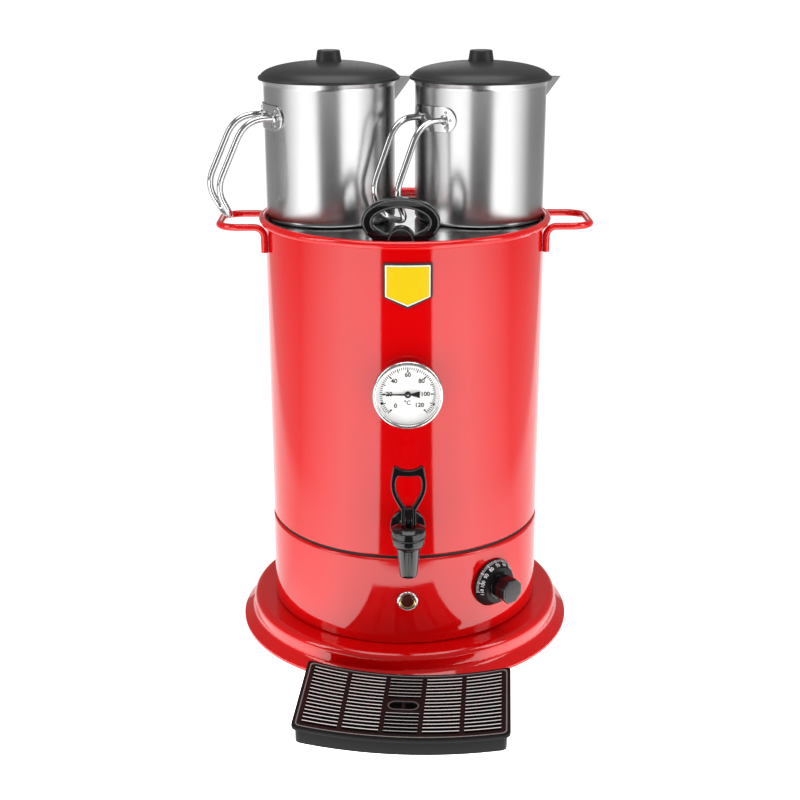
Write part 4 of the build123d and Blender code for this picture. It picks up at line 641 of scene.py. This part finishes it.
KNOB_AZIMUTH = 38.0
KNOB_Z = 84.0
SKIRT_LOW = 141.4       # axis of the urn to the back of the skirt
SKIRT_HEIGHT = 10.5
SKIRT_SLOPE = math.degrees(math.atan2(9.2, 6.1))
KNOB_TOP = 110          # first number of the scale, which runs down to 30
KNOB_STEP = 10
KNOB_NUMBERS = 9
KNOB_START = 187        # degrees from X to the first number
KNOB_STEP_TURN = 24     # degrees from one number to the next
STEP_TICKS = 8          # ticks from one number to the next


def on_skirt(turn, radius, height):
    """A place on the sloping face of the skirt."""
    return rotated(turn) @ local(radius, 0, height) @ rotated(SKIRT_SLOPE, "Y")


def add_skirt():
    """Thin dished skirt with its printed scale from 110 down to 30."""
    plane = facing(KNOB_AZIMUTH, SKIRT_LOW, KNOB_Z)
    outline = [(23.6, 0), (24.8, 0), (25, 0.3), (25, 1.0), (24.8, 1.3), (18.9, 10.2), (18.5, SKIRT_HEIGHT)]
    outline += [(6, SKIRT_HEIGHT), (6, 7.5), (17.4, 7.5), (23.6, 0)]
    skirt = place(turned("skirt", outline, 128), plane)
    finished(skirt, "black_trim", "thermostat_knob", "knob_skirt")
    marks = []
    for step in range((KNOB_NUMBERS - 1) * STEP_TICKS + 1):
        turn = KNOB_START - KNOB_STEP_TURN * step / STEP_TICKS
        length, half = (3.8, 0.35) if step % STEP_TICKS == 0 else (2.8, 0.15)
        tick = prism("tick", [[(-length, -half), (0, -half), (0, half), (-length, half)]], 0, PRINT)
        marks.append(place(tick, on_skirt(turn, 24.45, 1.95)))
    for step in range(KNOB_NUMBERS):
        turn = KNOB_START - KNOB_STEP_TURN * step
        number = written("number", str(KNOB_TOP - KNOB_STEP * step), 5.0)
        marks.append(place(number, on_skirt(turn, 20.9, 7.3) @ rotated(-90)))
    finished(place(joined("knob_print", marks), plane), "print_white", "thermostat_knob")


def eight_sided(radius, bend):
    """An octagon with flats to the sides and eased corners."""
    turns = [math.radians(22.5 + 45 * corner) for corner in range(8)]
    return rounded([(radius * math.cos(turn), radius * math.sin(turn)) for turn in turns], [bend] * 8)


def add_grip():
    """Eight-sided grip with a stepped foot and a flat grey front."""
    plane = facing(KNOB_AZIMUTH, SKIRT_LOW + SKIRT_HEIGHT, KNOB_Z)
    base = place(prism("grip_foot", [eight_sided(14.4, 1.5)], 0, 1.6, 0.4), plane)
    finished(base, "black_gloss", "thermostat_knob")
    grip = place(prism("grip", [eight_sided(13.3, 1.6)], 1.6, 18.6, 1.3, 4), plane)
    finished(grip, "black_gloss", "thermostat_knob", "knob_grip")
    cap = place(prism("grip_front", [eight_sided(11.0, 2.5)], 18.4, 19.0, 0.25), plane)
    finished(cap, "grip_grey", "thermostat_knob")


# ---- indicator lamp

HOUSING_R = 140.5
LAMP_Z = 78.6


def add_lamp():
    """The rolled ring of the lamp and the brass collar inside it."""
    plane = facing(0, HOUSING_R, LAMP_Z) @ local(z=0.05)
    ring = [(6.7, 0.1), (10.0, 0.1), (10.5, 0.5), (10.5, 1.6), (10.1, 2.5), (9.4, 3.1), (8.7, 3.2)]
    ring += [(8.2, 2.9), (7.9, 2.2), (7.3, 1.0), (6.7, 0.9), (6.7, 0.1)]
    ring = place(turned("lamp_ring", ring), plane)
    finished(ring, "bright_chrome", "urn_body", "lamp_bezel")
    collar = [(6.75, 0.95), (7.2, 1.1), (7.5, 1.9), (7.35, 2.2), (6.9, 1.9), (6.6, 1.6), (6.6, 1.0)]
    collar = place(turned("lamp_collar", collar + collar[:1]), plane)
    finished(collar, "brass", "urn_body")


# ---- plate under the rim, left bare

PLATE_HALF = 23.0
PLATE_SIDE = 32.3       # height of the straight sides
PLATE_TIP = 11.0        # height of the point below them
PLATE_BELOW_RIM = 20.5
PLATE_SEAT_R = 140.05


def shield(inset):
    """The plate's outline about the middle of its upper edge, drawn in by an inset."""
    half = PLATE_HALF - inset
    slope = math.atan2(PLATE_TIP, PLATE_HALF)
    side = inset * math.tan(slope / 2) - PLATE_SIDE
    tip = inset / math.cos(slope) - PLATE_SIDE - PLATE_TIP
    corners = [(-half, -inset), (half, -inset), (half, side), (0, tip), (-half, side)]
    return rounded(corners, [0.6] * 5, 3)


def wrapped(piece, radius):
    """Bends a flat piece round an upright axis behind it: its X becomes an arc on the radius."""
    reach = radius * MM
    for vertex in piece.data.vertices:
        x, y, z = vertex.co
        turn = x / reach
        vertex.co = ((reach + z) * math.sin(turn), y, (reach + z) * math.cos(turn) - reach)
    return piece


def sliced(piece, places):
    """Cuts a flat piece at each X so that it can follow a curve."""
    alone(piece)
    bpy.ops.object.mode_set(mode="EDIT")
    for x in places:
        bpy.ops.mesh.select_all(action="SELECT")
        bpy.ops.mesh.bisect(plane_co=(x * MM, 0, 0), plane_no=(1, 0, 0))
    bpy.ops.object.mode_set(mode="OBJECT")
    return piece


def add_plate():
    """The bare plate, its pale line and its yellow field, in layers that follow the shell."""
    spot = facing(0, PLATE_SEAT_R, RIM_TOP - PLATE_BELOW_RIM)
    layers = [
        ("plate_back", 0, 0, 0.9, "print_black", ["badge_plate"]),
        ("plate_line", 2.1, 0.8, 0.97, "print_white", []),
        ("plate_field", 3.3, 0.9, 1.04, "plate_yellow", []),
    ]
    for name, inset, low, high, finish, nodes in layers:
        layer = sliced(prism(name, [shield(inset)], low, high), range(-21, 22, 3))
        layer = place(wrapped(layer, PLATE_SEAT_R), spot)
        finished(smooth(layer, 30), finish, "urn_body", *nodes)


# ---- tap

TAP_REACH = 182.0       # axis of the urn to the axis of the spout
SPOUT_Z = 126.0
SHANK_Z = 161.0
PIN_Z = 183.3           # hinge pin of the lever
RIB_COUNT = 90


def add_tap():
    """Chamber with its spout, shank and mould line, and the bonnet with its ribs."""
    axis = local(0, -TAP_REACH)
    body = [(4.5, 126.2), (4.8, 126), (7.9, 126), (8.2, 126.4), (8.5, 129.0), (11.6, 154.6), (12.1, 156.0)]
    body += [(13.0, 156.5), (13.5, 157.2), (15.2, 159.4), (15.4, 160.0), (15.4, 165.2), (15.0, 165.7)]
    body += [(14.0, 165.9), (9.0, 165.9), (9.0, 147), (4.5, 147), (4.5, 126.2)]
    chamber = place(turned("tap_chamber", body), axis)
    finished(chamber, "black_gloss", "urn_body", "tap_body")
    shank = [(4.2, 112.2), (8.0, 112.2), (8.0, 141.6), (16.6, 141.6), (17.0, 142.0), (17.0, 145.4)]
    shank += [(16.4, 146.0), (9.4, 146.4), (8.6, 147.2), (8.4, 167.8), (4.2, 167.8), (4.2, 112.2)]
    shank = place(turned("tap_shank", shank), facing(0, 0, SHANK_Z))
    finished(shank, "black_gloss", "urn_body")
    seam = [(-0.35, 0.6), (0.35, 0.6), (0.35, 27.6), (-0.35, 27.6)]
    lean = math.atan2(3.1, 25.6)
    on_cone = facing(0, TAP_REACH, SPOUT_Z) @ local(z=7.2) @ Matrix.Rotation(lean, 4, "X")
    seam = place(prism("tap_mould_line", [seam], 0, 1.4, 0.15), on_cone)
    finished(seam, "black_gloss", "urn_body")
    cap = [(2.56, 176.0), (8.6, 178.0), (9.3, 177.8), (15.9, 174.6), (16.3, 174.1), (16.4, 173.6)]
    cap += [(16.4, 168.4), (16.1, 168.1), (16.1, 166.6), (15.9, 166.05), (7.5, 166.05), (7.5, 175.0)]
    cap += [(2.56, 175.0), (2.56, 176.0)]
    cap = place(turned("bonnet_cap", cap), axis)
    finished(cap, "black_gloss", "urn_body", "tap_bonnet")
    ribs = []
    outline = [(-0.28, 166.5), (0.28, 166.5), (0.28, 167.9), (-0.28, 167.9)]
    for step in range(RIB_COUNT):
        rib = prism("rib", [outline], 15.9, 16.5, 0.1, 0)
        ribs.append(place(rib, axis @ rotated(360 / RIB_COUNT * step) @ facing(0, 0, 0)))
    finished(joined("bonnet_ribs", ribs), "black_gloss", "urn_body")


def add_spring():
    """The spring over the stem, as a merged copy of its node."""
    node = frame["nodes"]["tap_spring"]
    spring = node.copy()
    spring.data = node.data.copy()
    spring.name = "stem_spring"
    bpy.context.scene.collection.objects.link(spring)
    finished(closed(spring), "spring_steel", "urn_body", "tap_spring")
    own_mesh(spring)


def add_lever():
    """Ring lever with two horns, on a forked neck."""
    plane = facing(0, TAP_REACH, PIN_Z)
    side = [(6.8, 10.5), (9.6, 15.4), (12.9, 21.4), (15.4, 27.6), (16.6, 33.6), (16.6, 39.6), (15.6, 46)]
    side += [(14.2, 54), (10.8, 54.1), (8, 51.8), (4, 50.6), (0, 50.2)]
    inside = [(0, 11.6), (3.6, 14.2), (6.6, 19.0), (9.6, 24.6), (11.6, 30.4), (12.3, 36.2)]
    inside += [(11.7, 41.6), (9.9, 45.4), (5, 44.8), (0, 44.5)]
    bends = [0.5] + [9] * 6 + [1.3, 1.3, 6, 6, 6]
    outer = rounded(mirrored(side), bends + bends[-2::-1], 6)
    bends = [2.5] + [9] * 6 + [2, 6, 6]
    hole = rounded(mirrored(inside), bends + bends[-2:0:-1], 6)
    ring = place(prism("lever_ring", [outer, hole], -3.2, 3.2, 1.1, 3), plane)
    finished(ring, "black_gloss", "tap_handle", "tap_lever")
    fork = [(6.8, -5), (6.8, 13.2), (-6.8, 13.2), (-6.8, -5), (-2.8, -5), (-2.8, 4.8), (2.8, 4.8), (2.8, -5)]
    fork = rounded(fork, [1.3, 2, 2, 1.3, 0.4, 0.4, 0.4, 0.4], 4)
    neck = place(prism("lever_neck", [fork], -4.2, 4.2, 0.5, 3), plane)
    finished(neck, "black_gloss", "tap_handle")
    step = [(4.6, -4.6), (4.6, 12.6), (-4.6, 12.6), (-4.6, -4.6)]
    step += [(-2.8, -4.6), (-2.8, 4.8), (2.8, 4.8), (2.8, -4.6)]
    step = rounded(step, [0.8, 1.2, 1.2, 0.8, 0.3, 0.3, 0.3, 0.3], 4)
    step = place(prism("lever_step", [step], -5.5, 5.5, 0.4, 3), plane)
    finished(step, "black_gloss", "tap_handle")


# ---- lid handle

BOW_AZIMUTH = -2.9
BOW_REACH = 115.0
BOW_MIDDLE = 19.0       # height of the widest place of the bow
LIP_WIDTH = 1.1


def add_bow():
    """Bow with a hollow bar, a wide foot and a domed middle."""
    plane = facing(BOW_AZIMUTH, BOW_REACH, LID_TOP)
    outer = mirrored([(27.0, 0.2), (27.2, 2.2)] + oval(36.5, 23, -42, 90, 28, BOW_MIDDLE))
    inner = oval(26.4, 13.2, -58, 238, 60, BOW_MIDDLE)
    hole = [(x, y) for x, y in inner if abs(x) >= 14.2 or y >= 12.5]
    dome = oval(14.0, 15.2, 30, 150, 15)
    bow = prism("bow", [outer, hole + dome[::-1]], -5.9, 5.9, 1.8, 4)
    finished(place(bow, plane), "black_gloss", "urn_lid", "lid_handle")
    # The lips and the rim round the dome are lighter grey than the bow: painted highlights on the edges of
    # its channel.
    for name, width, height in (("bow_outer_lip", 35.2, 21.7), ("bow_inner_lip", 28.7, 15.4)):
        crest = oval(width, height, -28, 208, 60, BOW_MIDDLE)
        trough = oval(width - LIP_WIDTH, height - LIP_WIDTH, -28, 208, 60, BOW_MIDDLE)
        lip = prism(name, [crest + trough[::-1]], 5.4, 6.5, 0.4, 2)
        finished(place(lip, plane), "painted_edge_highlight", "urn_lid")
    rim = oval(12.4, 13.4, 8, 170, 27) + oval(11.0, 12.0, 8, 170, 27)[::-1]
    rim = prism("bow_rim", [rim], 5.2, 6.0, 0.3, 2)
    finished(place(rim, plane), "painted_edge_highlight", "urn_lid")


# ---- serving pots

POTS = {"left": (-74.27, 7.43, -69.0), "right": (74.50, 4.57, -52.0)}      # X, Y and azimuth of the handle
POT_R = 64.5
HANDLE_FACE_R = 66.3    # axis of the pot to the face of the handle's plate
HANDLE_DROP = 33.5      # rim to the middle of the plate
ROD_HALF = 18           # middle of the plate to each rod
ROD_R = 3.1
LID_CROWN = 17.0        # above the rim of the pot
LID_SHOULDER = 3.0      # and the foot of the dome
LID_RING_DEPTH = 7
LID_HOLE_R = 2.55


def add_pot_trim(side):
    """Weld collars and rivets where the handle meets its plate."""
    x, y, azimuth = POTS[side]
    pot = local(x, y)
    root_z = POT_RIM - HANDLE_DROP
    pieces = []
    for across in (-ROD_HALF, ROD_HALF):
        out = math.sqrt(HANDLE_FACE_R**2 - across**2)
        collar = [(3.15, 0), (4.9, 0), (5.0, 0.4), (4.5, 1.4), (3.9, 2.2), (3.2, 2.6), (3.15, 0)]
        collar = turned("collar", collar, 40)
        pieces.append(place(collar, pot @ facing(azimuth, 0, root_z) @ local(across, 0, out - 1.2)))
    rivets = [(-6.5, 0), (6.5, 0), (-25.6, 0), (25.6, 0), (-21, -7), (-21, 7), (21, -7), (21, 7)]
    for across, up in rivets:
        head = turned("rivet", [(0, -1), (1.5, -1), (1.5, 0.35), (1.2, 0.8), (0.7, 1.0), (0, 1.1)], 24)
        lean = math.asin(across / HANDLE_FACE_R)
        spot = Matrix.Rotation(lean, 4, "Y") @ local(z=HANDLE_FACE_R)
        pieces.append(place(head, pot @ facing(azimuth, 0, root_z + up) @ spot))
    finished(joined(side + "_pot_welds", pieces), "pot_steel", side + "_pot")


def add_pot_handle(side):
    """Two rods joined below, on a plate that is welded to the pot."""
    x, y, azimuth = POTS[side]
    plane = local(x, y) @ facing(azimuth, 0, POT_RIM - HANDLE_DROP)
    near = [(-ROD_HALF, 0, 62.6), (-ROD_HALF, 0, 91.5), (-ROD_HALF, -66, 122.5), (-ROD_HALF, -93, 107.5)]
    points = [Vector(spot) for spot in near + [(-u, v, w) for u, v, w in near[::-1]]]
    rods = place(rod("rods", bent_path(points, [32, 30, 15, 15, 30, 32]), ROD_R), plane)
    plate = prism("handle_plate", [racetrack(62, 24)], 0.05, HANDLE_FACE_R - POT_R, 0.4)
    plate = place(wrapped(sliced(plate, range(-30, 31, 3)), POT_R), plane @ local(z=POT_R))
    handle = joined(side + "_pot_rods", [rods, smooth(plate, 30)])
    finished(handle, "rod_steel", side + "_pot", "pot_" + side + "_handle")


def add_pot_lid(side):
    """Domed lid with a lipped rim and a ring that drops into the pot."""
    x, y, _ = POTS[side]
    low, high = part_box("pot_" + side + "_lid")
    rim_r = (high.x - low.x) / 2 / MM
    dome_r, ring_r = rim_r - 2.4, rim_r - 6.6
    shares = [0.19 + 0.79 * step / 16 for step in range(17)]
    rise = (LID_CROWN - LID_SHOULDER) / math.sqrt(1 - shares[0]**2)
    outer = [(dome_r * share, LID_SHOULDER + rise * math.sqrt(1 - share**2)) for share in shares]
    inner = [(radius - 0.4, height - 1.0) for radius, height in outer if radius < ring_r - 2]
    lid = [(LID_HOLE_R, LID_CROWN)] + outer
    lid += [(rim_r - 1.6, 3.3), (rim_r - 0.8, 3.1), (rim_r - 0.2, 2.6), (rim_r, 1.9), (rim_r, 0.3)]
    lid += [(rim_r - 0.3, 0), (rim_r - 1.3, 0), (rim_r - 1.4, 1.2), (rim_r - 3.2, 1.6), (rim_r - 3.4, 0.05)]
    lid += [(ring_r, 0.05), (ring_r, -LID_RING_DEPTH), (ring_r - 1, -LID_RING_DEPTH), (ring_r - 1, 2.4)]
    lid += inner[::-1] + [(LID_HOLE_R, LID_CROWN - 1), (LID_HOLE_R, LID_CROWN)]
    lid = place(turned(side + "_pot_dome", lid, 160), local(x, y, POT_RIM))
    finished(lid, "lid_black", side + "_pot_cover", "pot_" + side + "_lid")


# ---- drip tray

TRAY_PLACE = local(-6.0, -238.5) @ rotated(-5.1)
TRAY_WIDTH, TRAY_DEPTH = 202.0, 117.0
BACK_ARC, FRONT_ARC = 230.0, 340.0
TRAY_CORNER = 11.0
GRILLE_LOW, GRILLE_TOP = 14.5, 18.1
SLOT_ROWS = 16
SLOT_BORDER = 9.0       # edge of the tray to the slots
SLOT_RIB = 4.6          # between two columns of slots
SLOT_MIDDLE = 31.0      # width of the middle column
SLOT_SHARE = 0.54       # share of the pitch that is open
FINGER_WIDTH = 13.0     # middle of the bar to the end of a finger hole
FINGER_R = 6.0
FINGER_FREE = 8         # middle of the finger holes to the nearest slots


def tray_edge(inset):
    """The outline of the tray, drawn in from its edge."""
    half, half_depth = TRAY_WIDTH / 2 - inset, TRAY_DEPTH / 2
    back, front = BACK_ARC + inset, FRONT_ARC - inset
    back_y, front_y = half_depth + BACK_ARC, -half_depth + FRONT_ARC
    xs = [half * step / 8 for step in range(-8, 9)]
    front_line = [(x, front_y - math.sqrt(front**2 - x**2)) for x in xs]
    back_line = [(x, back_y - math.sqrt(back**2 - x**2)) for x in xs[::-1]]
    bend = max(TRAY_CORNER - inset, 1)
    return rounded(front_line + back_line, ([bend] + [0] * 15 + [bend]) * 2, 8)


def slot_lines():
    """The near and far sides of curved slots in five columns, leaving room for the finger holes."""
    pitch = (TRAY_DEPTH - 2 * SLOT_BORDER) / SLOT_ROWS
    gap = pitch * SLOT_SHARE / 2
    usable = TRAY_WIDTH - 2 * SLOT_BORDER
    outer = (usable - SLOT_MIDDLE - 4 * SLOT_RIB) / 4
    slots = []
    for row in range(SLOT_ROWS):
        radius = BACK_ARC + (row + 0.5) / SLOT_ROWS * (FRONT_ARC - BACK_ARC)
        middle = TRAY_DEPTH / 2 - SLOT_BORDER - pitch * (row + 0.5)
        left = -usable / 2
        for width in (outer, outer, SLOT_MIDDLE, outer, outer):
            if width != SLOT_MIDDLE or abs(middle) > FINGER_FREE + pitch * 0.6:
                xs = [left + width * step / 8 for step in range(9)]
                line = [(x, middle + radius - math.sqrt(radius**2 - x**2)) for x in xs]
                slots.append(([(x, y - gap) for x, y in line], [(x, y + gap) for x, y in line]))
            left += width + SLOT_RIB
    return slots


def slot_hole(lower, upper):
    """A slot with eased corners."""
    return rounded(lower + upper[::-1], ([1.0] + [0] * 7 + [1.0]) * 2, 3)


def slot_edge(upper):
    """A fine pale strip along the far side of a slot, finer in the middle column: a painted highlight on the
    slat's edge.
    """
    width = 0.5 if abs(upper[4][0]) < 10 else 1.1
    return upper + [(x, y + width) for x, y in reversed(upper)]


def racetrack(width, depth):
    """A bar with round ends."""
    half, radius = width / 2 - depth / 2, depth / 2
    return arc(half, 0, radius, -90, 90, 16) + arc(-half, 0, radius, 90, 270, 16)


def half_track(side):
    """One of the two finger holes beside the bar."""
    end = arc(FINGER_WIDTH - FINGER_R, 0, FINGER_R, -90, 90, 16)
    return [(side * x, y) for x, y in [(1.7, -FINGER_R)] + end + [(1.7, FINGER_R)]]


def lay(piece, finish, *rest):
    """Puts a piece of the tray in its place and finishes it."""
    finished(place(piece, TRAY_PLACE), finish, *rest)


def add_tray():
    """The slotted grille with painted highlight strips along its slots and on its rims, and the pan that it
    lies in.
    """
    slots = slot_lines()
    holes = [half_track(1), half_track(-1)[::-1]] + [slot_hole(lower, upper) for lower, upper in slots]
    plate = prism("grille_plate", [tray_edge(0)] + holes, GRILLE_LOW, GRILLE_TOP, 0.7, 2)
    lay(plate, "tray_black", "drip_grille", "tray_grille")
    # Near white strips along the far side of each slot: painted highlights on the slat edges.
    low, high = GRILLE_TOP - 0.1, GRILLE_TOP + 0.15
    highlight_strips = [prism("slot_edge", [slot_edge(upper)], low, high) for _, upper in slots]
    lay(joined("painted_slot_highlights", highlight_strips), "tray_edge", "drip_grille")
    key = prism("grille_key", [tray_edge(5.4), tray_edge(7.0)], 11.5, 14.9)
    lay(key, "tray_black", "drip_grille")
    # The rim is mid grey on the black tray as a painted highlight on its edge.
    rim = prism("grille_rim", [tray_edge(3.4), tray_edge(4.6)], GRILLE_TOP - 0.2, 18.6, 0.3, 2)
    lay(rim, "painted_rim_highlight", "drip_grille")
    # The rim round the finger holes is lighter grey as a painted highlight.
    track = [racetrack(30, 16), racetrack(27.2, 13.2)]
    lay(prism("finger_rim", track, GRILLE_TOP - 0.2, 18.7, 0.35, 2), "painted_edge_highlight", "drip_grille")
    wall = prism("pan_wall", [tray_edge(3.2), tray_edge(5.0)], 0.9, GRILLE_LOW - 0.05, 0.3, 2)
    lay(wall, "tray_black", "drip_tray", "tray_pan")
    lay(prism("pan_floor", [tray_edge(3.25)], 0, 1.8, 0.5, 2), "tray_black", "drip_tray")


def add_pieces():
    """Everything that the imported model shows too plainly."""
    add_dial()
    add_bezel()
    add_skirt()
    add_grip()
    add_lamp()
    add_plate()
    add_tap()
    add_spring()
    add_lever()
    add_bow()
    for add_part in (add_pot_trim, add_pot_handle, add_pot_lid):
        for side in POTS:
            add_part(side)
    add_tray()


dress_nodes()
add_camera()
add_light()
add_floor()
add_pieces()
